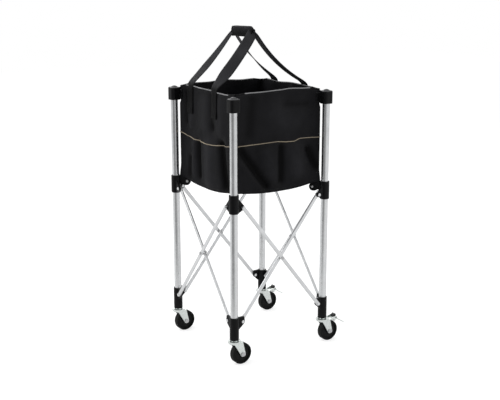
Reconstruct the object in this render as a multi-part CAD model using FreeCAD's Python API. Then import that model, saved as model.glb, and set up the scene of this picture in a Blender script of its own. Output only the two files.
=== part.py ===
import FreeCAD, Part
import math
import os
from FreeCAD import Vector

os.makedirs("parts", exist_ok=True)

# Foldable tennis ball cart, in millimetres.
# The origin is on the floor, under the centre of the four posts, and +Z points up.
# The front side faces -Y, and the left side faces -X.

# Frame
post_spacing = 370.0
post_diameter = 25.0
post_wall = 1.5
running_gap = 0.3
face_gap = 0.15
overrun = 1.0

# Casters, from the floor up
wheel_diameter = 73.0
wheel_crown_gap = 3.1
wheel_width = 23.0
wheel_trail = 25.0
tyre_depth = 8.0
tyre_shoulder = 3.5
hub_recess = 3.0
hub_boss_radius = 9.0
axle_radius = 4.0
bore_gap = 0.08
axle_head_radius = 7.5
axle_head_height = 3.0
fork_plate = 2.5
fork_wheel_gap = 2.0
fork_eye_radius = 9.0
fork_front_reach = 9.0
fork_back_reach = 25.0
fork_disc_radius = 20.0
fork_disc_height = 3.5
bearing_height = 1.6
bearing_radius = 17.0
race_radius = 22.5
race_height = 4.0
race_skirt_height = 1.0
race_wall = 1.8
king_radius = 5.0
king_head_radius = 9.0
king_head_height = 4.0
stem_collar_radius = 11.0
stem_thread_length = 14.0
stem_nut_radius = 9.5
stem_nut_sides = 6
stem_nut_height = 7.0

# Brake on the two casters of the right side
brake_pivot_back = 52.0
brake_pivot_lift = 3.4
brake_pin_radius = 2.5
brake_ear_radius = 6.5
brake_ear_plate = 2.0
brake_knob_radius = 6.0
brake_knob_rise = 7.5
brake_lever_plate = 2.4
brake_lever_width = 24.0
brake_lever_reach = 84.0
brake_lever_drop = 23.0
brake_toe_length = 9.0
brake_shoe_radius = 4.0
brake_shoe_gap = 0.5
brake_travel = 22.0

# Foot brackets
foot_height = 77.0
foot_radius = 15.5
foot_floor = 11.5
foot_ear_drop = 18.0
foot_ear_low = 34.0

# Sliders on the posts
slider_low = 519.0
slider_height = 62.0
slider_radius = 16.4
slider_pivot_drop = 43.5
slider_ear_low = 2.0
slider_ear_high = 48.0
slider_top_round = 1.5
slider_foot_round = 3.2
hook_reach = 42.0
hook_drop = 20.0
hook_half_height = 11.0
hook_plate = 8.0
hook_eye_radius = 8.5
hook_screw_radius = 2.4
hook_screw_head_radius = 4.6
hook_screw_head_height = 2.4

# Ears of the brackets and their rivets
ear_reach = 29.0
ear_shift = 5.0
ear_plate = 6.5
ear_end_radius = 8.0
ear_shoulder_reach = 34.0
rivet_radius = 3.0
rivet_head_radius = 5.6
rivet_head_height = 2.2
rivet_head_round = 1.4

# Scissor braces, flat oval tube
brace_width = 13.0
brace_thickness = 7.0
brace_wall = 1.3
brace_edge_round = 3.2
spacer_radius = 6.5

# Top caps
cap_low = 846.5
cap_height = 43.0
cap_width = 36.0
cap_corner_radius = 11.0
cap_socket_depth = 28.0
cap_edge_round = 4.5
dome_radius = 12.0
dome_height = 5.0
wing_reach = 31.0
wing_plate = 3.0
wing_height = 28.0
wing_end_round = 1.0

# Bag
wall_inset = 15.5
wall_thickness = 3.0
rim_rise = 11.0
bag_corner_rise = 1.5
bag_middle_sag = 13.0
floor_thickness = 2.5
floor_centre_drop = 15.0
seam_gap = 0.5

# Handle
strap_width = 38.0
strap_thickness = 2.5
left_strap_front_offset = 46.0
left_strap_rear_offset = 104.0
right_strap_offset = 87.0
strap_tail = 93.0
strap_crest_rise = 6.0
grip_length = 132.0
grip_height = 33.0
grip_thickness = 24.0
grip_round = 9.0
grip_offset = -22.0
grip_rise = 172.0
strap_top_width = 26.0
strap_end_gap = 0.5
strap_top_spread = 7.0
left_bow_share = 0.05
right_bow_share = 0.16
strap_steps = 5
strap_turn = 90.0

# Places that follow from the sizes above
half_spacing = post_spacing / 2
post_radius = post_diameter / 2
fork_underside = wheel_diameter + wheel_crown_gap
fork_top = fork_underside + fork_disc_height
race_low = fork_top + bearing_height + 2 * face_gap
foot_low = race_low + race_height + stem_nut_height / 2
brake_pivot_z = fork_underside + brake_pivot_lift
foot_top = foot_low + foot_height
foot_pivot_z = foot_top - foot_ear_drop
slider_top = slider_low + slider_height
slider_pivot_z = slider_top - slider_pivot_drop
post_low = foot_low + foot_floor
post_top = cap_low + cap_socket_depth - running_gap
axle_z = wheel_diameter / 2
brace_offset = ear_plate / 2 + face_gap + brace_thickness / 2
rim_height = cap_low + cap_height + rim_rise
bag_corner_low = slider_top + bag_corner_rise
grip_low = rim_height + grip_rise
hinge_inset = wall_inset + wall_thickness + running_gap

# Where each corner of the frame stands. Its brackets turn a quarter further at each one.
corners = {
    "front_left": (-half_spacing, -half_spacing),
    "front_right": (half_spacing, -half_spacing),
    "rear_right": (half_spacing, half_spacing),
    "rear_left": (-half_spacing, half_spacing),
}
braked_corners = ("front_right", "rear_right")

# Each side of the frame: its two corners, and which of its braces lies outboard. The rising brace goes up
# from the first corner, and the falling brace goes down from it.
sides = {
    "front": ("front_left", "front_right", "falling"),
    "left": ("front_left", "rear_left", "falling"),
    "right": ("front_right", "rear_right", "rising"),
    "rear": ("rear_left", "rear_right", "falling"),
}


# Shapes that several pieces use

def upright(radius, low, high, x=0, y=0):
    """A cylinder along Z."""
    return Part.makeCylinder(radius, high - low, Vector(x, y, low), Vector(0, 0, 1))


def crosswise(radius, low, high, x=0, z=0):
    """A cylinder along Y."""
    return Part.makeCylinder(radius, high - low, Vector(x, low, z), Vector(0, 1, 0))


def slab(outline, low, high):
    """A flat plate across Y, with its outline given as (x, z) points."""
    wire = Part.makePolygon([Vector(x, low, z) for x, z in outline + outline[:1]])
    return Part.Face(wire).extrude(Vector(0, high - low, 0))


def tangent_point(point, centre, radius, way):
    """Where the line from a point touches a circle, on one side of it."""
    across = centre[0] - point[0]
    rise = centre[1] - point[1]
    distance = math.hypot(across, rise)
    heading = math.atan2(rise, across) + way * math.asin(radius / distance)
    reach = math.sqrt(distance ** 2 - radius ** 2)
    return (point[0] + reach * math.cos(heading), point[1] + reach * math.sin(heading))


def eye_plate(root_x, root_low, root_high, eye, radius, low, high):
    """A plate that narrows from an upright root to a round eye."""
    lower = tangent_point((root_x, root_low), eye, radius, -1)
    upper = tangent_point((root_x, root_high), eye, radius, 1)
    outline = [(root_x, root_low), lower, eye, upper, (root_x, root_high)]
    return slab(outline, low, high).fuse(crosswise(radius, low, high, *eye)).removeSplitter()


def rivet_head(x, y, z, way):
    """A button head that stands out along Y from a face."""
    low = min(y, y + way * rivet_head_height)
    head = crosswise(rivet_head_radius, low, low + rivet_head_height, x, z)
    rim = [e for e in head.Edges if e.Curve.TypeId == "Part::GeomCircle"
           and abs(e.CenterOfMass.y - (y + way * rivet_head_height)) < face_gap]
    return head.makeFillet(rivet_head_round, rim)


def place(shape, turn, x, y):
    """Turn a shape about Z, then move it to a corner."""
    shape = shape.copy()
    shape.rotate(Vector(0, 0, 0), Vector(0, 0, 1), turn)
    shape.translate(Vector(x, y, 0))
    return shape


def side_frame(start, end):
    """A side's heading from its first corner, and which way along its own Y is outboard."""
    (x, y), (far_x, far_y) = corners[start], corners[end]
    heading = math.atan2(far_y - y, far_x - x)
    outboard = (y + far_y) * math.cos(heading) - (x + far_x) * math.sin(heading)
    return math.degrees(heading), math.copysign(1, outboard)


def save(name, *solids):
    """Write one node, of one solid or of several separate ones."""
    shape = solids[0] if len(solids) == 1 else Part.makeCompound(list(solids))
    assert shape.isValid(), name
    shape.exportStep("parts/" + name + ".step")


# Posts: plain round tubes from the foot's shoulder to inside the cap

def make_post():
    tube = upright(post_radius, post_low, post_top)
    bore = upright(post_radius - post_wall, post_low - overrun, post_top + overrun)
    return tube.cut(bore)


# Feet: a moulded socket with two ears that hold the lower ends of the braces

def make_ears(root_radius, pivot_z, low, high, shoulder):
    """Two ears at right angles, each a little outboard of the post, with a hole for its rivet."""
    inner = ear_plate / 2 - ear_shift
    outer = -ear_plate / 2 - ear_shift
    root = math.sqrt(root_radius ** 2 - outer ** 2) - running_gap
    ear = eye_plate(root, low, high, (ear_reach, pivot_z), ear_end_radius, outer, inner)
    if shoulder:
        ear_end = ear_reach + ear_end_radius
        square = [(root, pivot_z), (ear_end, pivot_z), (ear_shoulder_reach, high), (root, high)]
        ear = ear.fuse(slab(square, outer, inner)).removeSplitter()
    ear = ear.cut(crosswise(rivet_radius + bore_gap, outer - overrun, inner + overrun, ear_reach, pivot_z))
    return ear.fuse(ear.mirror(Vector(0, 0, 0), Vector(1, -1, 0)))


def make_foot():
    body = upright(foot_radius, foot_low, foot_top)
    body = body.fuse(make_ears(foot_radius, foot_pivot_z, foot_low + foot_ear_low, foot_top, True))
    socket = upright(post_radius + running_gap, post_low, foot_top + overrun)
    stem_hole = upright(king_radius + bore_gap, foot_low - overrun, post_low + overrun)
    return body.cut(socket).cut(stem_hole).removeSplitter()


# Sliders: a moulded sleeve with two ears for the upper ends of the braces, and a hook for the bag

def make_slider():
    body = upright(slider_radius, slider_low, slider_top)
    for level, size in ((slider_low, slider_foot_round), (slider_top, slider_top_round)):
        rims = [e for e in body.Edges if abs(e.BoundBox.ZMax - level) < face_gap
                and e.BoundBox.ZLength < face_gap]
        body = body.makeFillet(size, rims)
    ears = make_ears(slider_radius, slider_pivot_z,
                     slider_low + slider_ear_low, slider_low + slider_ear_high, False)
    hook_z = slider_top - hook_drop
    hook = eye_plate(post_radius + running_gap, hook_z - hook_half_height, hook_z + hook_half_height,
                     (hook_reach, hook_z), hook_eye_radius, -hook_plate / 2, hook_plate / 2)
    hook_hole = crosswise(hook_screw_radius + bore_gap, -hook_plate, hook_plate, hook_reach, hook_z)
    hook = place(hook.cut(hook_hole), 45, 0, 0)
    bore = upright(post_radius + running_gap, slider_low - overrun, slider_top + overrun)
    return body.fuse(ears).fuse(hook).cut(bore).removeSplitter()


def make_hook_screw():
    """The screw that holds the bag's lower corner to the hook."""
    hook_z = slider_top - hook_drop
    half = hook_plate / 2
    head_low = -half - face_gap - hook_screw_head_height
    shank = crosswise(hook_screw_radius, head_low, half, hook_reach, hook_z)
    head = crosswise(hook_screw_head_radius, head_low, -half - face_gap, hook_reach, hook_z)
    return place(shank.fuse(head).removeSplitter(), 45, 0, 0)


# Caps: a rounded block over the top of each post, with a low dome and two wings that hold the bag's rim

def make_cap():
    half = cap_width / 2
    block = Part.makeBox(cap_width, cap_width, cap_height, Vector(-half, -half, cap_low))
    uprights = [e for e in block.Edges if abs(e.BoundBox.ZLength - cap_height) < face_gap]
    block = block.makeFillet(cap_corner_radius, uprights)
    top = [e for e in block.Edges if e.BoundBox.ZMin > cap_low + cap_height - face_gap]
    block = block.makeFillet(cap_edge_round, top)
    cap_top = cap_low + cap_height
    ball_radius = (dome_radius ** 2 + dome_height ** 2) / (2 * dome_height)
    ball = Part.makeSphere(ball_radius, Vector(0, 0, cap_top + dome_height - ball_radius))
    dome = ball.common(upright(dome_radius + overrun, cap_top - overrun, cap_top + dome_height + overrun))
    wing_outer = wall_inset - running_gap
    wing = Part.makeBox(wing_reach, wing_plate, wing_height,
                        Vector(0, wing_outer - wing_plate, cap_low + (cap_height - wing_height) / 2))
    far_uprights = [e for e in wing.Edges if e.BoundBox.ZLength > wing_height - face_gap
                    and e.BoundBox.XMin > wing_reach - face_gap]
    wing = wing.makeFillet(wing_end_round, far_uprights)
    other_wing = wing.mirror(Vector(0, 0, 0), Vector(1, -1, 0))
    socket = upright(post_radius + running_gap, cap_low - overrun, cap_low + cap_socket_depth)
    return block.fuse([dome, wing, other_wing]).cut(socket).removeSplitter()


# Casters: the threaded stem with its race and bearing, the fork, the axle and the wheel

fork_leg_inner = wheel_width / 2 + fork_wheel_gap
fork_leg_outer = fork_leg_inner + fork_plate


def make_stem():
    """The kingpin and race as one turned piece, with its nut and bearing ring."""
    pin = upright(king_radius, fork_underside - king_head_height, post_low + stem_thread_length)
    collar = upright(stem_collar_radius, race_low, foot_low)
    race = upright(race_radius, race_low, race_low + race_height)
    skirt = upright(race_radius, race_low - race_skirt_height, race_low)
    skirt = skirt.cut(upright(race_radius - race_wall, race_low - race_skirt_height - overrun, race_low))
    head = upright(king_head_radius, fork_underside - king_head_height - face_gap, fork_underside - face_gap)
    stem = pin.fuse([collar, race, skirt, head]).removeSplitter()
    corners_of_nut = []
    for n in range(stem_nut_sides + 1):
        angle = 2 * math.pi * n / stem_nut_sides
        corners_of_nut.append(Vector(stem_nut_radius * math.cos(angle), stem_nut_radius * math.sin(angle),
                                     post_low + face_gap))
    nut = Part.Face(Part.makePolygon(corners_of_nut)).extrude(Vector(0, 0, stem_nut_height))
    nut = nut.cut(upright(king_radius + bore_gap, post_low, post_low + 2 * stem_nut_height))
    ring = upright(bearing_radius, fork_top + face_gap, race_low - face_gap)
    ring = ring.cut(upright(king_radius + running_gap, fork_top, race_low))
    return stem, nut, ring


def make_fork(braked):
    disc = upright(fork_disc_radius, fork_underside, fork_top)
    legs = []
    for low in (-fork_leg_outer, fork_leg_inner):
        eye = (wheel_trail, axle_z)
        front = tangent_point((-fork_front_reach, fork_underside), eye, fork_eye_radius, -1)
        back = tangent_point((fork_back_reach, fork_underside), eye, fork_eye_radius, 1)
        outline = [(-fork_front_reach, fork_underside), front, eye, back, (fork_back_reach, fork_underside),
                   (fork_back_reach, fork_top), (-fork_front_reach, fork_top)]
        leg = slab(outline, low, low + fork_plate)
        legs.append(leg.fuse(crosswise(fork_eye_radius, low, low + fork_plate, *eye)))
    deck = Part.makeBox(fork_front_reach + fork_back_reach, 2 * fork_leg_outer, fork_disc_height,
                        Vector(-fork_front_reach, -fork_leg_outer, fork_underside))
    fork = disc.fuse([deck] + legs)
    if braked:
        fork = fork.fuse(make_brake_ears())
    fork = fork.cut(crosswise(axle_radius + bore_gap, -fork_leg_outer - overrun, fork_leg_outer + overrun,
                              wheel_trail, axle_z))
    king_hole = upright(king_radius + running_gap, fork_underside - overrun, fork_top + overrun)
    return fork.cut(king_hole).removeSplitter()


def make_brake_ears():
    """Two lugs behind the fork's deck that carry the brake's pin."""
    ears = []
    outer = brake_lever_width / 2 + face_gap + brake_ear_plate
    for low in (-outer, outer - brake_ear_plate):
        root = fork_back_reach - brake_ear_plate
        eye = (brake_pivot_back, brake_pivot_z)
        ear = eye_plate(root, fork_underside, fork_top, eye, brake_ear_radius, low, low + brake_ear_plate)
        hole = crosswise(brake_pin_radius + bore_gap, low - overrun, low + brake_ear_plate + overrun, *eye)
        ears.append(ear.cut(hole))
    return ears


def make_brake():
    """The lever with its shoe, its pin, and the knob that is stepped on."""
    half = brake_lever_width / 2
    pivot = (brake_pivot_back, brake_pivot_z)
    tip = (brake_lever_reach, brake_pivot_z - brake_lever_drop)
    slope = math.atan2(tip[1] - pivot[1], tip[0] - pivot[0])
    over = (-math.sin(slope) * brake_lever_plate, math.cos(slope) * brake_lever_plate)
    toe = (tip[0] + brake_toe_length * math.cos(slope / 2), tip[1] + brake_toe_length * math.sin(slope / 2))
    outline = [pivot, tip, toe, (toe[0], toe[1] + brake_lever_plate), (tip[0] + over[0], tip[1] + over[1]),
               (pivot[0] + over[0], pivot[1] + over[1])]
    lever = slab(outline, -half, half)
    to_wheel = math.atan2(axle_z - pivot[1], wheel_trail - pivot[0])
    shoe_reach = math.hypot(axle_z - pivot[1], wheel_trail - pivot[0])
    shoe_reach -= wheel_diameter / 2 + brake_shoe_radius + brake_shoe_gap
    aim = to_wheel + math.radians(brake_travel)
    shoe = (pivot[0] + shoe_reach * math.cos(aim), pivot[1] + shoe_reach * math.sin(aim))
    web = slab([(pivot[0] - brake_shoe_radius, pivot[1]), (shoe[0] - brake_shoe_radius, shoe[1]),
                (shoe[0] + brake_shoe_radius, shoe[1]), (pivot[0] + brake_shoe_radius, pivot[1])],
               -half + brake_lever_plate, half - brake_lever_plate)
    barrel = crosswise(brake_pin_radius + brake_lever_plate, -half, half, *pivot)
    rubber = crosswise(brake_shoe_radius, -half + brake_lever_plate, half - brake_lever_plate, *shoe)
    pin_hole = crosswise(brake_pin_radius + bore_gap, -half - overrun, half + overrun, *pivot)
    neck = slab([(pivot[0] - brake_lever_plate, pivot[1]), (pivot[0] + brake_lever_plate, pivot[1]),
                 (pivot[0] + brake_lever_plate, pivot[1] + brake_knob_rise),
                 (pivot[0] - brake_lever_plate, pivot[1] + brake_knob_rise)], -half / 2, half / 2)
    knob = crosswise(brake_knob_radius, -half / 2, half / 2, pivot[0], pivot[1] + brake_knob_rise)
    lever = lever.fuse([web, barrel, rubber, neck, knob]).cut(pin_hole).removeSplitter()
    pin_reach = half + face_gap + brake_ear_plate + brake_lever_plate / 2
    pin = crosswise(brake_pin_radius, -pin_reach, pin_reach, *pivot)
    return lever, pin


def make_axle():
    """The axle bolt, with a round head at one end and a round nut at the other."""
    shank = crosswise(axle_radius, -fork_leg_outer, fork_leg_outer, wheel_trail, axle_z)
    ends = []
    for low in (-fork_leg_outer - axle_head_height - face_gap, fork_leg_outer + face_gap):
        ends.append(crosswise(axle_head_radius, low, low + axle_head_height, wheel_trail, axle_z))
        reach = crosswise(axle_radius, low, low + axle_head_height + face_gap, wheel_trail, axle_z)
        if low < 0:
            ends.append(reach)
        else:
            ends.append(crosswise(axle_radius, fork_leg_outer, low + axle_head_height, wheel_trail, axle_z))
    return shank.fuse(ends).removeSplitter()


def make_wheel():
    """A tyre with round shoulders on a dished hub."""
    half = wheel_width / 2
    radius = wheel_diameter / 2
    hub_radius = radius - tyre_depth
    tyre = crosswise(radius, -half, half, wheel_trail, axle_z)
    shoulders = [e for e in tyre.Edges if e.Curve.TypeId == "Part::GeomCircle"]
    tyre = tyre.makeFillet(tyre_shoulder, shoulders)
    tyre = tyre.cut(crosswise(hub_radius, -half - overrun, half + overrun, wheel_trail, axle_z))
    hub = crosswise(hub_radius - bore_gap, -half + hub_recess, half - hub_recess, wheel_trail, axle_z)
    boss_half = half + fork_wheel_gap - running_gap
    hub = hub.fuse(crosswise(hub_boss_radius, -boss_half, boss_half, wheel_trail, axle_z))
    hub = hub.cut(crosswise(axle_radius + bore_gap, -boss_half - overrun, boss_half + overrun,
                            wheel_trail, axle_z))
    return tyre, hub.removeSplitter()


# Scissor braces: two on each side, crossing at a rivet, each with a rivet at both ends

brace_rise = slider_pivot_z - foot_pivot_z
brace_run = post_spacing - 2 * ear_reach
brace_length = math.hypot(brace_run, brace_rise)
brace_angle = math.degrees(math.atan2(brace_rise, brace_run))
crossing = (post_spacing / 2, (foot_pivot_z + slider_pivot_z) / 2)


def make_brace_tube(offset):
    """A level brace about the origin, at its offset from the plane of the ears."""
    half_width = brace_width / 2
    length = brace_length + brace_width
    tube = Part.makeBox(length, brace_thickness, brace_width,
                        Vector(-length / 2, offset - brace_thickness / 2, -half_width))
    long_edges = [e for e in tube.Edges if e.BoundBox.XLength > brace_length]
    tube = tube.makeFillet(brace_edge_round, long_edges)
    round_ends = slab([(-brace_length / 2, -half_width), (brace_length / 2, -half_width),
                       (brace_length / 2, half_width), (-brace_length / 2, half_width)],
                      offset - brace_thickness, offset + brace_thickness)
    for x in (-brace_length / 2, brace_length / 2):
        round_ends = round_ends.fuse(
            crosswise(half_width, offset - brace_thickness, offset + brace_thickness, x, 0))
    tube = tube.common(round_ends)
    inner_thickness = brace_thickness - 2 * brace_wall
    inner_width = brace_width - 2 * brace_wall
    bore = Part.makeBox(length + 2 * overrun, inner_thickness, inner_width,
                        Vector(-length / 2 - overrun, offset - inner_thickness / 2, -inner_width / 2))
    bore_edges = [e for e in bore.Edges if e.BoundBox.XLength > brace_length]
    tube = tube.cut(bore.makeFillet(brace_edge_round - brace_wall, bore_edges))
    for x in (-brace_length / 2, 0, brace_length / 2):
        tube = tube.cut(crosswise(rivet_radius + bore_gap, offset - brace_thickness,
                                  offset + brace_thickness, x, 0))
    return tube.removeSplitter()


def make_end_rivet(x, offset):
    """A rivet through one end of a brace and the ear beside it."""
    way = 1 if offset > 0 else -1
    outer = offset + way * (brace_thickness / 2 + face_gap)
    inner = -way * (ear_plate / 2 + face_gap)
    shank = crosswise(rivet_radius, min(outer, inner), max(outer, inner), x, 0)
    return shank.fuse([rivet_head(x, outer, 0, way), rivet_head(x, inner, 0, -way)]).removeSplitter()


def make_brace(offset, angle, ear_y):
    """A brace beside the plane of the ears, which lies at ear_y in its side's frame."""
    solids = [make_brace_tube(offset)]
    solids += [make_end_rivet(x, offset) for x in (-brace_length / 2, brace_length / 2)]
    for solid in solids:
        solid.rotate(Vector(0, 0, 0), Vector(0, -1, 0), angle)
        solid.translate(Vector(crossing[0], ear_y, crossing[1]))
    return solids


def make_crossing(ear_y):
    """The rivet where two braces cross, and the spacer between them."""
    outer = brace_offset + brace_thickness / 2 + face_gap
    shank = crosswise(rivet_radius, -outer, outer)
    rivet = shank.fuse([rivet_head(0, outer, 0, 1), rivet_head(0, -outer, 0, -1)]).removeSplitter()
    spacer_half = brace_offset - brace_thickness / 2 - face_gap
    spacer = crosswise(spacer_radius, -spacer_half, spacer_half)
    spacer = spacer.cut(crosswise(rivet_radius + bore_gap, -outer, outer))
    for solid in (rivet, spacer):
        solid.translate(Vector(crossing[0], ear_y, crossing[1]))
    return rivet, spacer


# Bag: four hanging walls, and a floor of four gores that slope down to its middle

def make_wall(way, full_corner):
    """A wall in its side's frame. Its lower edge sags between the corners."""
    face = -way * wall_inset
    end = wall_inset if full_corner else hinge_inset
    notch = cap_width / 2 + running_gap
    rim_start = max(end, notch)
    far = post_spacing - end
    rim_far = post_spacing - rim_start
    notch_z = cap_low - running_gap
    sag = Part.Arc(Vector(end, 0, bag_corner_low), Vector(post_spacing / 2, 0, bag_corner_low - bag_middle_sag),
                   Vector(far, 0, bag_corner_low)).toShape()
    stops = [Vector(far, 0, bag_corner_low), Vector(far, 0, notch_z)]
    if rim_start > end:
        stops += [Vector(rim_far, 0, notch_z)]
    stops += [Vector(rim_far, 0, rim_height), Vector(rim_start, 0, rim_height)]
    if rim_start > end:
        stops += [Vector(rim_start, 0, notch_z)]
    stops += [Vector(end, 0, notch_z), Vector(end, 0, bag_corner_low)]
    unique = [p for n, p in enumerate(stops) if n == 0 or p.distanceToPoint(stops[n - 1]) > face_gap]
    outline = Part.Wire([sag] + Part.makePolygon(unique).Edges)
    wall = Part.Face(outline).extrude(Vector(0, -way * wall_thickness, 0))
    wall.translate(Vector(0, face, 0))
    return wall


def make_gore(way):
    """A floor gore in its side's frame, from the wall's foot to the middle of the bag."""
    near = hinge_inset
    middle = post_spacing / 2
    low = bag_corner_low - floor_thickness
    points = [Vector(near + seam_gap, -way * near, low),
              Vector(post_spacing - near - seam_gap, -way * near, low),
              Vector(middle, -way * (middle - seam_gap), low - floor_centre_drop)]
    return Part.Face(Part.makePolygon(points + points[:1])).extrude(Vector(0, 0, floor_thickness))


# Handle: four webbing legs that rise from the left and right walls to one padded grip

def make_grip():
    half_length = grip_length / 2
    grip = Part.makeBox(grip_thickness, grip_length, grip_height,
                        Vector(grip_offset - grip_thickness / 2, -half_length, grip_low))
    long_edges = [e for e in grip.Edges if e.BoundBox.YLength > grip_length - face_gap]
    return grip.makeFillet(grip_round, long_edges)


def strap_section(centre, across, through):
    """A four-cornered section, from its middle and its two half edges."""
    a, b = Vector(*across), Vector(*through)
    c = Vector(*centre)
    return Part.makePolygon([c - a - b, c + a - b, c + a + b, c - a + b, c - a - b])


def make_strap(wall_way, end_way, base_offset):
    """One leg: a tail sewn to the wall, then a bowed run up to the end of the grip."""
    half_width, half_thick = strap_width / 2, strap_thickness / 2
    base_x = wall_way * (half_spacing - wall_inset + running_gap + half_thick)
    base_y = end_way * base_offset
    through = (half_thick, 0, 0)
    sections = [strap_section((base_x, base_y, z), (0, half_width, 0), through)
                for z in (rim_height - strap_tail, rim_height + strap_crest_rise)]
    top_x = grip_offset + wall_way * strap_top_spread
    top_y = end_way * (grip_length / 2 + strap_end_gap + half_thick)
    top_z = grip_low + grip_height / 2
    crest_z = rim_height + strap_crest_rise
    bow_share = left_bow_share if wall_way < 0 else right_bow_share
    for step in range(1, strap_steps + 1):
        share = step / strap_steps
        bow = bow_share * 4 * share * (1 - share)
        x = base_x + (top_x - base_x) * (share + bow / 2)
        z = crest_z + (top_z - crest_z) * (share - bow / 2)
        y = base_y + (top_y - base_y) * share
        turn = math.radians(strap_turn * share ** 2)
        width = half_width + (strap_top_width / 2 - half_width) * share
        lean = math.atan2(top_z - crest_z, abs(top_x - base_x))
        lift = (wall_way * -math.cos(lean), math.sin(lean))
        across = (wall_way * math.sin(lean) * width * math.sin(turn) * (1 - share),
                  width * math.cos(turn), width * math.sin(turn))
        normal = Vector(lift[0], 0, lift[1]).cross(Vector(*across)).normalize() * half_thick
        if step == strap_steps:
            across = (0, 0, width)
            normal = Vector(0, half_thick, 0)
        sections.append(strap_section((x, y, z), across, tuple(normal)))
    return Part.makeLoft(sections, True, True)


# Write every node

for quarter, (corner, (x, y)) in enumerate(corners.items()):
    turn = math.degrees(quarter * math.pi / 2)
    save("post_" + corner, place(make_post(), 0, x, y))
    save("cap_" + corner, place(make_cap(), turn, x, y))
    save("foot_" + corner, place(make_foot(), turn, x, y))
    save("slider_" + corner, place(make_slider(), turn, x, y), place(make_hook_screw(), turn, x, y))
    save("caster_stem_" + corner, *[place(s, 0, x, y) for s in make_stem()])
    save("caster_fork_" + corner, place(make_fork(corner in braked_corners), 0, x, y))
    save("caster_axle_" + corner, place(make_axle(), 0, x, y))
    save("wheel_" + corner, *[place(s, 0, x, y) for s in make_wheel()])
    if corner in braked_corners:
        save("brake_pedal_" + corner, *[place(s, 0, x, y) for s in make_brake()])

for side, (start, end, outboard) in sides.items():
    x, y = corners[start]
    heading, way = side_frame(start, end)
    for layer, angle in (("rising", brace_angle), ("falling", -brace_angle)):
        offset = way * brace_offset if layer == outboard else -way * brace_offset
        brace = make_brace(offset, angle, way * ear_shift)
        save("brace_" + side + "_" + layer, *[place(s, heading, x, y) for s in brace])
    save("crossing_rivet_" + side, *[place(s, heading, x, y) for s in make_crossing(way * ear_shift)])
    save("bag_wall_" + side, place(make_wall(way, side in ("front", "rear")), heading, x, y))
    save("bag_floor_" + side, place(make_gore(way), heading, x, y))

save("handle_grip", make_grip())
for wall_name, wall_way, front_offset, rear_offset in (
        ("left", -1, left_strap_front_offset, left_strap_rear_offset),
        ("right", 1, right_strap_offset, right_strap_offset)):
    save("handle_strap_" + wall_name + "_front", make_strap(wall_way, -1, front_offset))
    save("handle_strap_" + wall_name + "_rear", make_strap(wall_way, 1, rear_offset))
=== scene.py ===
# A foldable ball cart: four aluminium posts on casters, joined by scissor braces, with a black fabric bag
# hung between them and a webbing handle over it. Everything is in metres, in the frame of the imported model.
import math

import bpy
import numpy as np
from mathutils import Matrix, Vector, noise


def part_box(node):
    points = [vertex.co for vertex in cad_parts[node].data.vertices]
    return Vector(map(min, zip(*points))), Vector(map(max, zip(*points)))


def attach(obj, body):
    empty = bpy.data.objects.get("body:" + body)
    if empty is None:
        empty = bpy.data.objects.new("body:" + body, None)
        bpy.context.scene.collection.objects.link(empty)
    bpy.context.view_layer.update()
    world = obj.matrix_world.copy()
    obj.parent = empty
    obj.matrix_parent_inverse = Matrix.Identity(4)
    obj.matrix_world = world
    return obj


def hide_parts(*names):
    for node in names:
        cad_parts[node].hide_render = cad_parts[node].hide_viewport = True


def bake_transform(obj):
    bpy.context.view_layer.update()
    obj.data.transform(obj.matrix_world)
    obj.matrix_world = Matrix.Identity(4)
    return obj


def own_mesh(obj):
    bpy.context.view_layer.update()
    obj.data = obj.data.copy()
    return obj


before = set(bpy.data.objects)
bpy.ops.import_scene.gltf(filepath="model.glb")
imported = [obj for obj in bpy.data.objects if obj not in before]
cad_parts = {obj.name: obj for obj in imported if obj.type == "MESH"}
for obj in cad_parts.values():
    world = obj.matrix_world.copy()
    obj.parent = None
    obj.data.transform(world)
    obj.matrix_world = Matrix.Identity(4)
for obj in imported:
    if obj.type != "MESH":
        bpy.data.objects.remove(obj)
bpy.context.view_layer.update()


# The view and the studio
# A long lens looks at the cart from its front left corner, a little from above. The floor and the backdrop
# are plain and white, and the lamps are wide and soft. The studio is darker behind the camera, which the
# tubes mirror.
view_azimuth = math.radians(-34.23)
view_elevation = math.radians(13.84)
view_distance = 3.266
view_aim = Vector((0.00237, -0.00161, 0.50187))
view_lens = 67.66
sensor_width = 36.0

camera_data = bpy.data.cameras.new("studio_camera")
camera_data.lens = view_lens
camera_data.sensor_width = sensor_width
camera_data.sensor_fit = "HORIZONTAL"
camera_data.clip_end = 60.0
camera = bpy.data.objects.new("studio_camera", camera_data)
bpy.context.scene.collection.objects.link(camera)
towards_camera = Vector((math.sin(view_azimuth) * math.cos(view_elevation),
                         -math.cos(view_azimuth) * math.cos(view_elevation),
                         math.sin(view_elevation)))
camera.location = view_aim + towards_camera * view_distance
camera.rotation_euler = towards_camera.to_track_quat("Z", "Y").to_euler()
bpy.context.scene.camera = camera
bpy.context.scene.view_settings.view_transform = "Standard"


lamp_aim = Vector((0, 0, 0.5))


def soft_lamp(name, azimuth, height, distance, size, power):
    """A square lamp that faces the cart from one side."""
    data = bpy.data.lights.new(name, "AREA")
    data.energy = power
    data.size = size
    lamp = bpy.data.objects.new(name, data)
    angle = math.radians(azimuth)
    lamp.location = (math.sin(angle) * distance, -math.cos(angle) * distance, height)
    to_lamp = lamp.location - lamp_aim
    lamp.rotation_euler = to_lamp.to_track_quat("Z", "Y").to_euler()
    bpy.context.scene.collection.objects.link(lamp)


soft_lamp("key_lamp", azimuth=-108, height=2.5, distance=2.8, size=2.0, power=44)
soft_lamp("fill_lamp", azimuth=44, height=1.9, distance=3.2, size=2.2, power=20)
soft_lamp("back_lamp", azimuth=165, height=2.4, distance=3.0, size=1.6, power=22)

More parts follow.
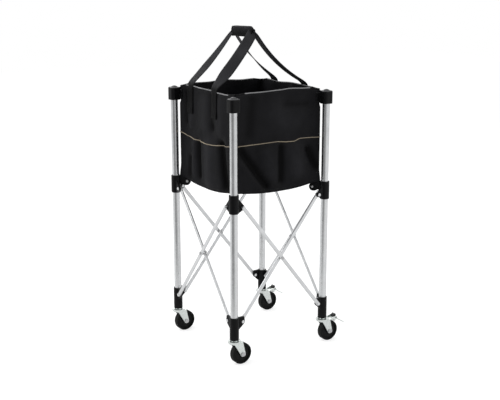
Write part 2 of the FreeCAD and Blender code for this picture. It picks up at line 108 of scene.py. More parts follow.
def set_inputs(tree, node, inputs):
    """Give each of a node's inputs its value, or a link where the value is another node's output."""
    for name, value in inputs.items():
        if isinstance(value, bpy.types.NodeSocket):
            tree.links.new(value, node.inputs[name])
        else:
            node.inputs[name].default_value = value


def add_node(tree, kind, inputs=None, **settings):
    """A new shader node with its settings and its inputs."""
    node = tree.nodes.new("ShaderNode" + kind)
    for name, setting in settings.items():
        setattr(node, name, setting)
    set_inputs(tree, node, inputs or {})
    return node


def maths(tree, operation, *values):
    """The result of a sum on values or sockets."""
    return add_node(tree, "Math", dict(enumerate(values)), operation=operation).outputs[0]


def vector_maths(tree, operation, *values):
    """The result of a sum on vectors, which is a number for a length or a dot product."""
    outputs = add_node(tree, "VectorMath", dict(enumerate(values)), operation=operation).outputs
    return outputs["Value"] if operation in ("LENGTH", "DOT_PRODUCT") else outputs[0]


def ranged(tree, value, start, end, low=0.0, high=1.0, **settings):
    """A value carried over from the range of start to end to the range of low to high."""
    inputs = {"Value": value, "From Min": start, "From Max": end, "To Min": low, "To Max": high}
    return add_node(tree, "MapRange", inputs, **settings).outputs[0]


def mixed(tree, share, first, second, data_type="FLOAT"):
    """A value between two others, or a colour between two others for the data type RGBA."""
    inputs = {"Factor": share, "A": first, "B": second}
    return add_node(tree, "Mix", inputs, data_type=data_type).outputs["Result"]


def clouds(tree, place, scale, detail):
    """Soft noise at a place."""
    return add_node(tree, "TexNoise", {"Vector": place, "Scale": scale, "Detail": detail}).outputs["Fac"]


def object_place(tree):
    """The place on the object, in metres."""
    return add_node(tree, "TexCoord").outputs["Object"]


def new_material(name):
    """A material, its node tree and its shader."""
    material = bpy.data.materials.new(name)
    material.use_nodes = True
    return material, material.node_tree, material.node_tree.nodes["Principled BSDF"]


# The world is white to the camera, and in reflections nearly so, but for a soft dark patch to the left of
# the camera. It lights the cart a little less than white.
world_light = 0.62
mirrored_light = 0.86
dark_patch_azimuth = view_azimuth - math.radians(26)
dark_patch_level = 0.26
dark_patch_edge = 0.62
dark_patch_core = 0.96


def dark_side(tree, direction):
    """How much a level direction points into the dark patch, from 0 to 1."""
    level = vector_maths(tree, "NORMALIZE", vector_maths(tree, "MULTIPLY", direction, (1, 1, 0)))
    middle = (math.sin(dark_patch_azimuth), -math.cos(dark_patch_azimuth), 0)
    facing = vector_maths(tree, "DOT_PRODUCT", level, middle)
    return ranged(tree, facing, dark_patch_edge, dark_patch_core, interpolation_type="SMOOTHSTEP")


world = bpy.data.worlds.new("studio_world")
bpy.context.scene.world = world
world.use_nodes = True
world_tree = world.node_tree
world_path = add_node(world_tree, "LightPath").outputs
world_place = add_node(world_tree, "TexCoord").outputs["Generated"]
world_patch = mixed(world_tree, dark_side(world_tree, world_place), mirrored_light, dark_patch_level)
world_mirrored = mixed(world_tree, world_path["Is Glossy Ray"], world_light, world_patch)
world_seen = maths(world_tree, "MAXIMUM", world_path["Is Camera Ray"], world_path["Is Transmission Ray"])
world_strength = mixed(world_tree, world_seen, world_mirrored, 1.0)
set_inputs(world_tree, world_tree.nodes["Background"], {"Color": (1, 1, 1, 1), "Strength": world_strength})

# The floor keeps a faint shadow, and looks white to the camera where it is fully lit. Reflections show it
# darker on the dark side, from some way out.
floor_reach = 9.0
floor_glow = 0.62
floor_mirrored_glow = 0.26
floor_pale = 0.62
floor_dark = 0.34
dark_floor_start = 0.5
dark_floor_full = 1.1
floor_mesh = bpy.data.meshes.new("studio_floor")
floor_mesh.from_pydata([(-floor_reach, -floor_reach, 0), (floor_reach, -floor_reach, 0),
                        (floor_reach, floor_reach, 0), (-floor_reach, floor_reach, 0)], [], [(0, 1, 2, 3)])
floor = bpy.data.objects.new("studio_floor", floor_mesh)
bpy.context.scene.collection.objects.link(floor)
floor_material, floor_tree, floor_shader = new_material("studio_floor")
floor_path = add_node(floor_tree, "LightPath").outputs
floor_place = add_node(floor_tree, "NewGeometry").outputs["Position"]
floor_distance = vector_maths(floor_tree, "LENGTH", floor_place)
floor_far = ranged(floor_tree, floor_distance, dark_floor_start, dark_floor_full)
floor_side = maths(floor_tree, "MULTIPLY", floor_far, dark_side(floor_tree, floor_place))
floor_shaded = maths(floor_tree, "MULTIPLY", floor_side, floor_path["Is Glossy Ray"])
floor_colour = mixed(floor_tree, floor_shaded, (floor_pale, floor_pale, floor_pale, 1),
                     (floor_dark, floor_dark, floor_dark, 1), "RGBA")
floor_unshaded = maths(floor_tree, "SUBTRACT", floor_path["Is Glossy Ray"], floor_shaded)
floor_mirrored = maths(floor_tree, "MULTIPLY", floor_unshaded, floor_mirrored_glow)
floor_seen = maths(floor_tree, "MULTIPLY", floor_path["Is Camera Ray"], floor_glow)
set_inputs(floor_tree, floor_shader, {
    "Base Color": floor_colour, "Roughness": 1.0, "Specular IOR Level": 0.0, "Emission Color": (1, 1, 1, 1),
    "Emission Strength": maths(floor_tree, "MAXIMUM", floor_seen, floor_mirrored)})
floor_mesh.materials.append(floor_material)


# Posts
# Each post is a drawn 25 mm aluminium tube with a satin anodised skin. Drawing leaves faint lines along it,
# with blotches of duller skin.
corners = ("front_left", "front_right", "rear_right", "rear_left")
sides = ("front", "left", "right", "rear")


def group_with(name, inputs, outputs):
    """An empty shader node group with named sockets, the sockets that it starts from and its end node."""
    tree = bpy.data.node_groups.new(name, "ShaderNodeTree")
    for socket_name, kind, value in inputs:
        socket = tree.interface.new_socket(name=socket_name, in_out="INPUT", socket_type=kind)
        if value is not None:
            socket.default_value = value
    for socket_name, kind in outputs:
        tree.interface.new_socket(name=socket_name, in_out="OUTPUT", socket_type=kind)
    return tree, tree.nodes.new("NodeGroupInput").outputs, tree.nodes.new("NodeGroupOutput")


def drawn_metal_group():
    """Fine lines along a drawn tube, with blotches of duller skin."""
    tree, start, end = group_with(
        "drawn_metal",
        [("Vector", "NodeSocketVector", None), ("Line Depth", "NodeSocketFloat", 0.02),
         ("Smooth", "NodeSocketFloat", 0.25), ("Dull", "NodeSocketFloat", 0.4)],
        [("Roughness", "NodeSocketFloat"), ("Tone", "NodeSocketFloat"), ("Normal", "NodeSocketVector")])
    stretched = add_node(tree, "Mapping", {"Vector": start["Vector"], "Scale": (1.0, 1.0, 0.012)}).outputs[0]
    lines = clouds(tree, stretched, scale=1400, detail=3)
    blotch = maths(tree, "MULTIPLY", clouds(tree, start["Vector"], scale=26, detail=5), 0.5)
    both = maths(tree, "MULTIPLY_ADD", lines, 0.5, blotch)
    bump = add_node(tree, "Bump", {"Strength": start["Line Depth"], "Distance": 0.0002, "Height": lines})
    set_inputs(tree, end, {"Roughness": ranged(tree, both, 0.35, 0.65, start["Smooth"], start["Dull"]),
                           "Tone": ranged(tree, both, 0.3, 0.7), "Normal": bump.outputs[0]})
    return tree


def metal(name, group, dark, light, smooth, dull, turned=(0, 0, 0)):
    """Metal between two tones and two roughnesses, as a group says. The lines run along Z, or are turned."""
    material, tree, shader = new_material(name)
    place = add_node(tree, "Mapping", {"Vector": object_place(tree), "Rotation": turned}).outputs[0]
    skin = add_node(tree, "Group", {"Vector": place, "Smooth": smooth, "Dull": dull}, node_tree=group).outputs
    set_inputs(tree, shader, {"Base Color": mixed(tree, skin["Tone"], (*dark, 1), (*light, 1), "RGBA"),
                              "Roughness": skin["Roughness"], "Normal": skin["Normal"], "Metallic": 1.0})
    return material


def dress(node, material):
    """Give a CAD node its material."""
    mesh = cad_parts[node].data
    mesh.materials.clear()
    mesh.materials.append(material)


def post_place(corner):
    """The place of a post's axis, at the level of the floor."""
    low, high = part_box("post_" + corner)
    return Vector(((low.x + high.x) / 2, (low.y + high.y) / 2, 0))


drawn_metal = drawn_metal_group()
post_metal = metal("post_metal", drawn_metal, (0.68, 0.69, 0.70), (0.82, 0.83, 0.84), smooth=0.20, dull=0.32)
for corner in corners:
    dress("post_" + corner, post_metal)


# Scissor braces
# The braces are flat oval tubes of thinner aluminium, cut and drilled, with steel rivets at both ends and
# where two of them cross.
brace_lean = math.radians(38.6)
for side in sides:
    for layer, way in (("falling", 1), ("rising", -1)):
        turned = (0, way * brace_lean, 0) if side in ("front", "rear") else (-way * brace_lean, 0, 0)
        brace_metal = metal("brace_metal_" + side + "_" + layer, drawn_metal, (0.68, 0.69, 0.70),
                            (0.83, 0.84, 0.85), smooth=0.26, dull=0.42, turned=turned)
        dress("brace_" + side + "_" + layer, brace_metal)


# Steel of the casters and rivets
# Stems, forks and brake levers are pressed steel with a pale zinc plating, and bolts and rivets are turned
# and plated brighter. The plating has a fine spangle and darkens a little in patches.
def plated_steel_group():
    """Spangle and patches of a plated skin."""
    tree, start, end = group_with(
        "plated_steel",
        [("Vector", "NodeSocketVector", None), ("Spangle", "NodeSocketFloat", 900.0),
         ("Smooth", "NodeSocketFloat", 0.2), ("Dull", "NodeSocketFloat", 0.42)],
        [("Roughness", "NodeSocketFloat"), ("Tone", "NodeSocketFloat"), ("Normal", "NodeSocketVector")])
    cells = add_node(tree, "TexVoronoi", {"Vector": start["Vector"], "Scale": start["Spangle"]})
    grey = add_node(tree, "SeparateColor", {0: cells.outputs["Color"]}).outputs[0]
    patch = clouds(tree, start["Vector"], scale=60, detail=6)
    bump = add_node(tree, "Bump", {"Strength": 0.08, "Distance": 0.0002, "Height": patch})
    set_inputs(tree, end, {"Roughness": ranged(tree, patch, 0.3, 0.7, start["Smooth"], start["Dull"]),
                           "Tone": maths(tree, "MULTIPLY", grey, patch), "Normal": bump.outputs[0]})
    return tree


plated_steel = plated_steel_group()
zinc = metal("zinc_plating", plated_steel, (0.74, 0.78, 0.76), (0.90, 0.94, 0.92), smooth=0.20, dull=0.38)
bright_steel = metal("bright_steel", plated_steel, (0.48, 0.48, 0.49), (0.68, 0.68, 0.69), smooth=0.16,
                     dull=0.32)
for side in sides:
    dress("crossing_rivet_" + side, bright_steel)
for corner in corners:
    dress("caster_stem_" + corner, zinc)
    dress("caster_fork_" + corner, zinc)
    dress("caster_axle_" + corner, bright_steel)


def axis_mask(tree, place, centre, inner, outer):
    """The distance from a line along Y, and a mask that is one near it and nothing further out."""
    flat = vector_maths(tree, "MULTIPLY_ADD", place, (1, 0, 1), (-centre[0], 0, -centre[1]))
    far = vector_maths(tree, "LENGTH", flat)
    return far, ranged(tree, far, outer, inner)


def changed_copy(material, name):
    """A copy of a material, with its node tree, its shader and the output that colours it."""
    copy = material.copy()
    copy.name = name
    shader = copy.node_tree.nodes["Principled BSDF"]
    return copy, copy.node_tree, shader, shader.inputs["Base Color"].links[0].from_socket


# The brake levers are the same plated steel, with a black moulded knob where they turn.
knob_reach = 0.052
knob_height = 0.0875
knob_radius = 0.0085
knob_edge = 0.0004
knob_black = (0.02, 0.021, 0.021, 1)
for corner in ("front_right", "rear_right"):
    lever, tree, shader, plated = changed_copy(zinc, "brake_lever_" + corner)
    knob_centre = (post_place(corner).x + knob_reach, knob_height)
    knob = axis_mask(tree, object_place(tree), knob_centre, knob_radius - knob_edge, knob_radius)[1]
    set_inputs(tree, shader, {"Base Color": mixed(tree, knob, plated, knob_black, "RGBA"),
                              "Metallic": maths(tree, "SUBTRACT", 1.0, knob)})
    dress("brake_pedal_" + corner, lever)


# Moulded brackets
# Caps, sliders and feet are injection moulded in black nylon. The tool leaves a fine sparked grain, and
# handling polishes the edges. Faces that point up get a painted highlight, strongest on the caps.
def moulded_skin_group():
    """Sparked grain of a moulding, and a mask for its rubbed edges."""
    tree, start, end = group_with(
        "moulded_skin",
        [("Vector", "NodeSocketVector", None), ("Grain", "NodeSocketFloat", 2600.0),
         ("Depth", "NodeSocketFloat", 0.25), ("Edge", "NodeSocketFloat", 0.0012)],
        [("Roughness", "NodeSocketFloat"), ("Wear", "NodeSocketFloat"), ("Normal", "NodeSocketVector")])
    grain = clouds(tree, start["Vector"], scale=start["Grain"], detail=2)
    bump = add_node(tree, "Bump", {"Strength": start["Depth"], "Distance": 0.00012, "Height": grain})
    soft = add_node(tree, "Bevel", {"Radius": start["Edge"]}, samples=4).outputs[0]
    true_normal = add_node(tree, "NewGeometry").outputs["Normal"]
    edge = ranged(tree, vector_maths(tree, "DOT_PRODUCT", soft, true_normal), 0.98, 0.86)
    patch = clouds(tree, start["Vector"], scale=140, detail=4)
    set_inputs(tree, end, {"Roughness": ranged(tree, patch, 0.3, 0.7, 0.26, 0.42),
                           "Wear": maths(tree, "MULTIPLY", edge, patch), "Normal": bump.outputs[0]})
    return tree


moulded_skin = moulded_skin_group()


def moulding(name, body, worn, top_highlight):
    """Moulded black plastic, paler on its rubbed edges, with a painted highlight where it faces up."""
    material, tree, shader = new_material(name)
    skin = add_node(tree, "Group", {"Vector": object_place(tree)}, node_tree=moulded_skin).outputs
    # A painted highlight on faces that point up, mixed with the pale wear of the edges.
    facing = add_node(tree, "SeparateXYZ", {0: add_node(tree, "NewGeometry").outputs["Normal"]}).outputs["Z"]
    wear_and_highlight = maths(tree, "MAXIMUM", skin["Wear"], ranged(tree, facing, 0.35, 0.95, 0.0, top_highlight))
    set_inputs(tree, shader, {"Base Color": mixed(tree, wear_and_highlight, (*body, 1), (*worn, 1), "RGBA"),
                              "Roughness": skin["Roughness"], "Normal": skin["Normal"],
                              "Specular IOR Level": 0.13})
    return material


# The caps' upward faces get a bright painted highlight, and the sliders' and feet's a faint one.
black_nylon = moulding("black_nylon", (0.0050, 0.0050, 0.0056), (0.05, 0.05, 0.052), top_highlight=0.25)
cap_nylon = moulding("cap_nylon", (0.0050, 0.0050, 0.0056), (0.13, 0.13, 0.134), top_highlight=0.8)
hook_reach = 0.042
hook_drop = 0.020
hook_half_plate = 0.004
screw_head_radius = 0.0047
screw_head_proud = 0.00004
screw_steel = (0.62, 0.62, 0.63, 1)


def slider_nylon(corner):
    """The moulding's material with a steel screw in its hook, told apart by its place."""
    post = post_place(corner)
    inward = -post.normalized()
    level = Vector((-inward.y, inward.x, 0))
    screw = post + inward * hook_reach + Vector((0, 0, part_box("slider_" + corner)[1].z - hook_drop))
    material, tree, shader, plain = changed_copy(black_nylon, "slider_nylon_" + corner)
    from_screw = vector_maths(tree, "SUBTRACT", object_place(tree), screw)
    sideways, inwards, upwards = (vector_maths(tree, "DOT_PRODUCT", from_screw, way)
                                  for way in (level, inward, (0, 0, 1)))
    far_squared = maths(tree, "MULTIPLY_ADD", inwards, inwards, maths(tree, "MULTIPLY", upwards, upwards))
    near = maths(tree, "LESS_THAN", maths(tree, "POWER", far_squared, 0.5), screw_head_radius)
    proud = maths(tree, "GREATER_THAN", maths(tree, "ABSOLUTE", sideways), hook_half_plate + screw_head_proud)
    on_head = maths(tree, "MULTIPLY", near, proud)
    set_inputs(tree, shader, {"Base Color": mixed(tree, on_head, plain, screw_steel, "RGBA"),
                              "Metallic": on_head})
    return material


for corner in corners:
    dress("cap_" + corner, cap_nylon)
    dress("foot_" + corner, black_nylon)
    dress("slider_" + corner, slider_nylon(corner))


# Wheels
# Solid black rubber tyres on black moulded hubs. The tread is dusty where it rolls, the side walls are
# darker with two fine rings, and the hubs are smooth with five shallow spokes.
tyre_inner = 0.0245
tyre_edge = 0.0003
tread_inner = 0.0024
tread_outer = 0.0006
ring_radii = (0.0285, 0.0325)
ring_half_width = 0.0006
spoke_count = 5.0
tyre_black = (0.0048, 0.0054, 0.0050, 1)
tread_dust = (0.0140, 0.0155, 0.0142, 1)
hub_black = (0.0040, 0.0042, 0.0042, 1)


def wheel_material(name, centre, radius):
    """Tyre, side wall and hub of one wheel, told apart by their distance from its axle."""
    material, tree, shader = new_material(name)
    place = object_place(tree)
    far, hub = axis_mask(tree, place, (centre.x, centre.z), tyre_inner - tyre_edge, tyre_inner)
    tread = ranged(tree, far, radius - tread_inner, radius - tread_outer)
    dusty = maths(tree, "MULTIPLY", tread, clouds(tree, place, scale=120, detail=6))
    rubber = mixed(tree, dusty, tyre_black, tread_dust, "RGBA")
    inner_groove, outer_groove = (maths(tree, "COMPARE", far, ring, ring_half_width) for ring in ring_radii)
    split = add_node(tree, "SeparateXYZ", {0: vector_maths(tree, "SUBTRACT", place, centre)}).outputs
    turned = maths(tree, "ARCTAN2", split["X"], split["Z"])
    spokes = maths(tree, "SINE", maths(tree, "MULTIPLY", turned, spoke_count))
    height = maths(tree, "MULTIPLY_ADD", spokes, hub, maths(tree, "MAXIMUM", inner_groove, outer_groove))
    bump = add_node(tree, "Bump", {"Strength": 0.5, "Distance": 0.0006, "Height": height}, invert=True)
    set_inputs(tree, shader, {"Base Color": mixed(tree, hub, rubber, hub_black, "RGBA"),
                              "Roughness": ranged(tree, hub, 0.0, 1.0, 0.62, 0.34),
                              "Normal": bump.outputs[0], "Specular IOR Level": 0.14})
    return material


for corner in corners:
    low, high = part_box("wheel_" + corner)
    dress("wheel_" + corner, wheel_material("wheel_rubber_" + corner, (low + high) / 2, (high.z - low.z) / 2))


# Bag
# One sack of coated black cloth, sewn from four walls in two panels each and a square floor. The caps hold
# its rim and the sliders' hooks its lower corners, so the walls hang in soft folds and the floor sags.
walls = ("front", "right", "rear", "left")
wall_along = np.array([(1, 0), (0, 1), (-1, 0), (0, -1)], float)
wall_outward = np.array([(0, -1), (1, 0), (0, 1), (-1, 0)], float)
front_low, front_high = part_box("bag_wall_front")
cloth_reach = -(front_low.y + front_high.y) / 2
rim_level = front_high.z
hem_drop = 0.0015
hem_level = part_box("bag_floor_front")[1].z - hem_drop
seam_drop = 0.169
seam_level = rim_level - seam_drop
cloth_half = 0.0006
corner_round = 0.005
round_reach = cloth_reach - corner_round
corner_strip = 0.0095
straight_reach = cloth_reach - corner_strip

# Rises and dips of the rim, the middle seam and the hem along each wall, at shares of its half length.
rim_shares = {
    "front": ((-1, -0.004), (-0.75, -0.002), (-0.4, -0.002), (0.05, 0), (0.28, 0.0022), (0.72, -0.001),
              (1, -0.008)),
    "right": ((-1, -0.008), (-0.7, -0.004), (-0.1, -0.001), (0.4, -0.005), (0.75, -0.001), (1, -0.007)),
    "rear": ((-1, -0.007), (-0.74, -0.002), (-0.5, -0.003), (0, 0.0015), (0.4, -0.002), (0.74, -0.001),
             (1, -0.007)),
    "left": ((-1, -0.007), (-0.78, -0.001), (-0.54, -0.001), (-0.25, -0.004), (0.08, -0.004), (0.4, -0.008),
             (0.72, -0.009), (1, -0.004)),
}
seam_shares = {
    "front": ((-1, 0), (-0.66, 0.001), (-0.05, 0.002), (0.2, -0.002), (0.36, -0.003), (0.53, 0.004),
              (1, 0.001)),
    "right": ((-1, 0.001), (-0.4, -0.005), (0.3, -0.003), (1, 0.002)),
    "rear": ((-1, 0.002), (-0.5, -0.004), (0.2, -0.002), (0.6, -0.006), (1, 0.004)),
    "left": ((-1, 0.004), (-0.69, -0.004), (-0.45, -0.010), (-0.08, -0.013), (0.22, -0.012), (0.56, -0.008),
             (1, 0)),
}
hem_sags = {"front": 0.0150, "right": 0.0135, "rear": 0.0155, "left": 0.0175}

# Soft folds of each wall: where a fold starts and ends, as shares across and up the wall, its half width,
# and how far it stands out. A fold that stands out less than nothing is a valley.
fold_shares = {
    "front": ((-0.90, 0.44, -0.28, 0.03, 0.012, -0.0062), (0.08, 0.42, 0.07, 0.06, 0.011, -0.0042),
              (0.74, 0.36, 0.93, 0.16, 0.011, -0.0050), (-0.30, 0.36, -0.14, 0.10, 0.026, 0.0022),
              (0.40, 0.38, 0.48, 0.12, 0.032, 0.0030), (0.15, 0.84, 0.70, 0.83, 0.009, -0.0016),
              (-0.62, 0.92, -0.70, 0.58, 0.020, -0.0018), (-0.1, 0.8, 0.3, 0.6, 0.045, 0.0022)),
    "right": ((-0.80, 0.42, -0.35, 0.05, 0.012, -0.0052), (0.05, 0.44, 0.10, 0.08, 0.013, -0.0040),
              (0.86, 0.45, 0.60, 0.05, 0.012, -0.0048), (-0.2, 0.35, -0.15, 0.1, 0.028, 0.0026),
              (0.35, 0.38, 0.34, 0.1, 0.026, 0.0024), (-0.1, 0.92, -0.16, 0.6, 0.016, -0.0022)),
    "rear": ((-0.85, 0.44, -0.42, 0.04, 0.012, -0.0056), (-0.02, 0.44, -0.06, 0.05, 0.011, -0.0044),
             (0.84, 0.40, 0.50, 0.06, 0.013, -0.0050), (-0.24, 0.35, -0.2, 0.1, 0.026, 0.0026),
             (0.28, 0.38, 0.26, 0.1, 0.028, 0.0028), (0.2, 0.9, 0.1, 0.6, 0.018, -0.0020)),
    "left": ((-0.31, 0.42, -0.30, 0.05, 0.010, -0.0046), (0.52, 0.46, 0.66, 0.02, 0.015, -0.0060),
             (-0.66, 0.24, -0.70, 0.03, 0.008, -0.0030), (-0.48, 0.40, -0.50, 0.06, 0.012, 0.0024),
             (0.12, 0.42, 0.10, 0.04, 0.034, 0.0036), (-0.82, 0.92, -0.80, 0.60, 0.010, -0.0030),
             (-0.62, 0.86, -0.58, 0.6, 0.014, 0.0022), (0.16, 0.94, 0.20, 0.60, 0.012, -0.0034),
             (-0.1, 0.86, -0.1, 0.62, 0.030, 0.0022), (0.45, 0.9, 0.5, 0.6, 0.030, 0.0014)),
}


def smooth_step(t):
    """An eased rise from 0 to 1."""
    t = np.clip(t, 0, 1)
    return t * t * (3 - 2 * t)


def smooth_line(points, where):
    """Heights along a given line, eased between its points."""
    points = np.array(points, float)
    before = np.clip(np.searchsorted(points[:, 0], where, side="right") - 1, 0, len(points) - 2)
    start, end = points[before], points[before + 1]
    share = smooth_step((where - start[:, 0]) / (end[:, 0] - start[:, 0]))
    return start[:, 1] + (end[:, 1] - start[:, 1]) * share


hem_roundness = 2.2


def wall_levels(side, across):
    """Heights of the hem, the middle seam and the rim, at places across a wall."""
    share = across / cloth_reach
    hem = hem_level - hem_sags[walls[side]] * (1 - np.abs(share) ** hem_roundness)
    seam = seam_level + smooth_line(seam_shares[walls[side]], share)
    rim = rim_level + smooth_line(rim_shares[walls[side]], share)
    return hem, seam, rim


fold_boldness = 2.2
fold_end_fade = 0.03


def fold_relief(side, across, height):
    """How far the folds alone stand out, where a valley stands out less than nothing."""
    out = np.zeros_like(across)
    for from_across, from_up, to_across, to_up, width, depth in fold_shares[walls[side]]:
        start = np.array((from_across * cloth_reach, hem_level + from_up * (rim_level - hem_level)))
        end = np.array((to_across * cloth_reach, hem_level + to_up * (rim_level - hem_level)))
        run = end - start
        t = ((across - start[0]) * run[0] + (height - start[1]) * run[1]) / run.dot(run)
        off = np.clip(t, 0, 1)
        gap = np.hypot(across - start[0] - off * run[0], height - start[1] - off * run[1])
        past = np.abs(t - off) * np.hypot(*run)
        out += depth * np.exp(-(gap / width) ** 2) * np.exp(-(past / fold_end_fade) ** 2)
    return out


# Each wall bellies out near its foot and slackens under its rim. It lies calmer at its corners, and where
# the tail of a strap holds it flat.
belly_depth = 0.0026
belly_middle_share = 0.18
belly_width_share = 0.22
slack_depth = 0.0022
slack_start_share = 0.75
calm_corner = 0.034
strap_places = {("left", "front"): -0.046, ("left", "rear"): 0.104,
                ("right", "front"): -0.087, ("right", "rear"): 0.087}
strap_tail_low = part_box("handle_strap_left_front")[0].z
strap_calm_share = 0.8
strap_calm_width = 0.028
strap_calm_run = 0.03


def fold_height(side, across, height):
    """How far the cloth stands out from its wall's plane, before its corners are pulled in."""
    share, up = across / cloth_reach, (height - hem_level) / (rim_level - hem_level)
    out = fold_boldness * fold_relief(side, across, height)
    belly = belly_depth * (1 - share ** 2) * np.exp(-((up - belly_middle_share) / belly_width_share) ** 2)
    slack = -slack_depth * (1 - share ** 2) * smooth_step((up - slack_start_share) / (1 - slack_start_share))
    free = smooth_step((cloth_reach - np.abs(across)) / calm_corner)
    for (wall, end), place in strap_places.items():
        if wall == walls[side]:
            tail = np.exp(-((across - place * wall_along[side][1]) / strap_calm_width) ** 2)
            held = smooth_step((height - strap_tail_low + strap_calm_run) / strap_calm_run)
            free = free * (1 - strap_calm_share * tail * held)
    return (out + belly + slack) * free


# Crumples of three sizes: how fast each changes across and up the cloth, and where it starts. The stitched
# seam and hem pucker in short waves.
crumple_scales = ((19, 6, 3), (60, 26, 0), (150, 90, 0))
slow_crumple = 0.0022
quick_crumple = 0.0007
fine_crumple = 0.00022
corner_crumple_share = 0.15
crumple_fade = 0.03
pucker_height = 0.00038
pucker_length = 0.017
pucker_drift = 9
pucker_drift_rate = 31
seam_pucker_width = 0.010
hem_pucker_width = 0.012
hem_pucker_share = 0.7

# The corners fill the space towards their posts, less at the caps and more above the sliders.
corner_fill = 0.0062
corner_rim_fill = 0.0028
corner_foot_fill = 0.0040
corner_fill_width = 0.016
corner_foot_top = hem_level + 0.045
cap_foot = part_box("cap_front_left")[0].z
cap_fill_run = 0.014


def cloth_points(side, across, height):
    """Places of the cloth's middle surface on one wall, and the level outward direction at each."""
    bend = np.clip((np.abs(across) - round_reach) / corner_round, 0, 1) * math.pi / 4
    sign = np.sign(across)
    flat = np.clip(np.abs(across), 0, round_reach)
    along = sign * (flat + corner_round * np.sin(bend))
    outward = round_reach + corner_round * np.cos(bend)
    level = np.outer(sign * np.sin(bend), wall_along[side]) + np.outer(np.cos(bend), wall_outward[side])
    plan = np.outer(along, wall_along[side]) + np.outer(outward, wall_outward[side])
    stands = fold_height(side, across, height)
    fade = smooth_step((cloth_reach - np.abs(across)) / crumple_fade)
    for n, (x, y) in enumerate(plan):
        slow, quick, fine = (noise.noise(Vector((x * wide, y * wide, height[n] * tall + start)))
                             for wide, tall, start in crumple_scales)
        crumpled = corner_crumple_share + (1 - corner_crumple_share) * fade[n]
        stands[n] += (slow_crumple * slow + quick_crumple * quick) * crumpled + fine_crumple * fine
    hem, seam, rim = wall_levels(side, across)
    drift = pucker_drift * np.sin(across * pucker_drift_rate + side)
    ripple = np.sin(across * 2 * math.pi / pucker_length + drift)
    near = np.exp(-np.abs(height - seam) / seam_pucker_width)
    near += hem_pucker_share * np.exp(-np.abs(height - hem) / hem_pucker_width)
    stands += pucker_height * ripple * near * fade
    plan += level * stands[:, None]
    corner = np.exp(-((cloth_reach - np.abs(across)) / corner_fill_width) ** 2)
    at_foot = smooth_step((corner_foot_top - height) / (corner_foot_top - hem_level))
    at_cap = smooth_step((height - cap_foot + cap_fill_run) / cap_fill_run)
    fill = corner_fill + (corner_rim_fill - corner_fill) * at_cap + corner_foot_fill * at_foot
    diagonal = np.sign(np.outer(sign + (sign == 0), wall_along[side]) + wall_outward[side]) / math.sqrt(2)
    plan += diagonal * (fill * corner)[:, None]
    return np.column_stack((plan, height)), np.column_stack((level, np.zeros(len(across))))


# The cloth's points: columns round the bag, with rows that follow the hem, the seam and the rim, then the
# floor. The lowest row stays close to the hem.
corner_cells = 3
straight_cells = 46
side_cells = straight_cells + 2 * corner_cells
lower_rows = 23
upper_rows = 25
hem_row_share = 0.018
across_line = np.concatenate((
    np.linspace(-cloth_reach, -straight_reach, corner_cells + 1)[:-1],
    np.linspace(-straight_reach, straight_reach, straight_cells + 1),
    np.linspace(straight_reach, cloth_reach, corner_cells + 1)[1:]))
lower_shares = np.concatenate(((0, hem_row_share), np.linspace(hem_row_share, 1, lower_rows)[1:]))
upper_shares = np.linspace(0, 1, upper_rows + 1)[1:]
row_count = len(lower_shares) + len(upper_shares)
seam_row = len(lower_shares) - 1
ring_count = 4 * side_cells
cloth = np.zeros((ring_count * row_count + (side_cells - 1) ** 2, 3))
# How much painted light each point of the walls gets: painted shade in the valleys of the folds, a painted
# highlight on their ridges.
painted_fold_light = np.full(len(cloth), 0.5)
painted_fold_depth = 0.0065
ring_level = np.zeros((ring_count, row_count, 3))
for side in range(4):
    across = across_line[:-1]
    hem, seam, rim = wall_levels(side, across)
    heights = np.concatenate((hem[:, None] + np.outer(seam - hem, lower_shares),
                              seam[:, None] + np.outer(rim - seam, upper_shares)), axis=1)
    columns = np.arange(side * side_cells, (side + 1) * side_cells)
    for row in range(row_count):
        places, outward = cloth_points(side, across, heights[:, row])
        cloth[columns * row_count + row] = places
        ring_level[columns, row] = outward
        # Painted shade where a fold sinks in, painted light where it stands out.
        relief = fold_relief(side, across, heights[:, row])
        painted_fold_light[columns * row_count + row] = np.clip(0.5 + relief / painted_fold_depth, 0, 1)


def ring_point(column, row):
    """The number of a point of the walls."""
    return (column % ring_count) * row_count + row


def floor_point(i, j):
    """The number of a floor point, or of the hem point where the floor meets a wall."""
    if j == 0:
        return ring_point(i, 0)
    if i == side_cells:
        return ring_point(side_cells + j, 0)
    if j == side_cells:
        return ring_point(3 * side_cells - i, 0)
    if i == 0:
        return ring_point(4 * side_cells - j, 0)
    return ring_count * row_count + (i - 1) * (side_cells - 1) + j - 1


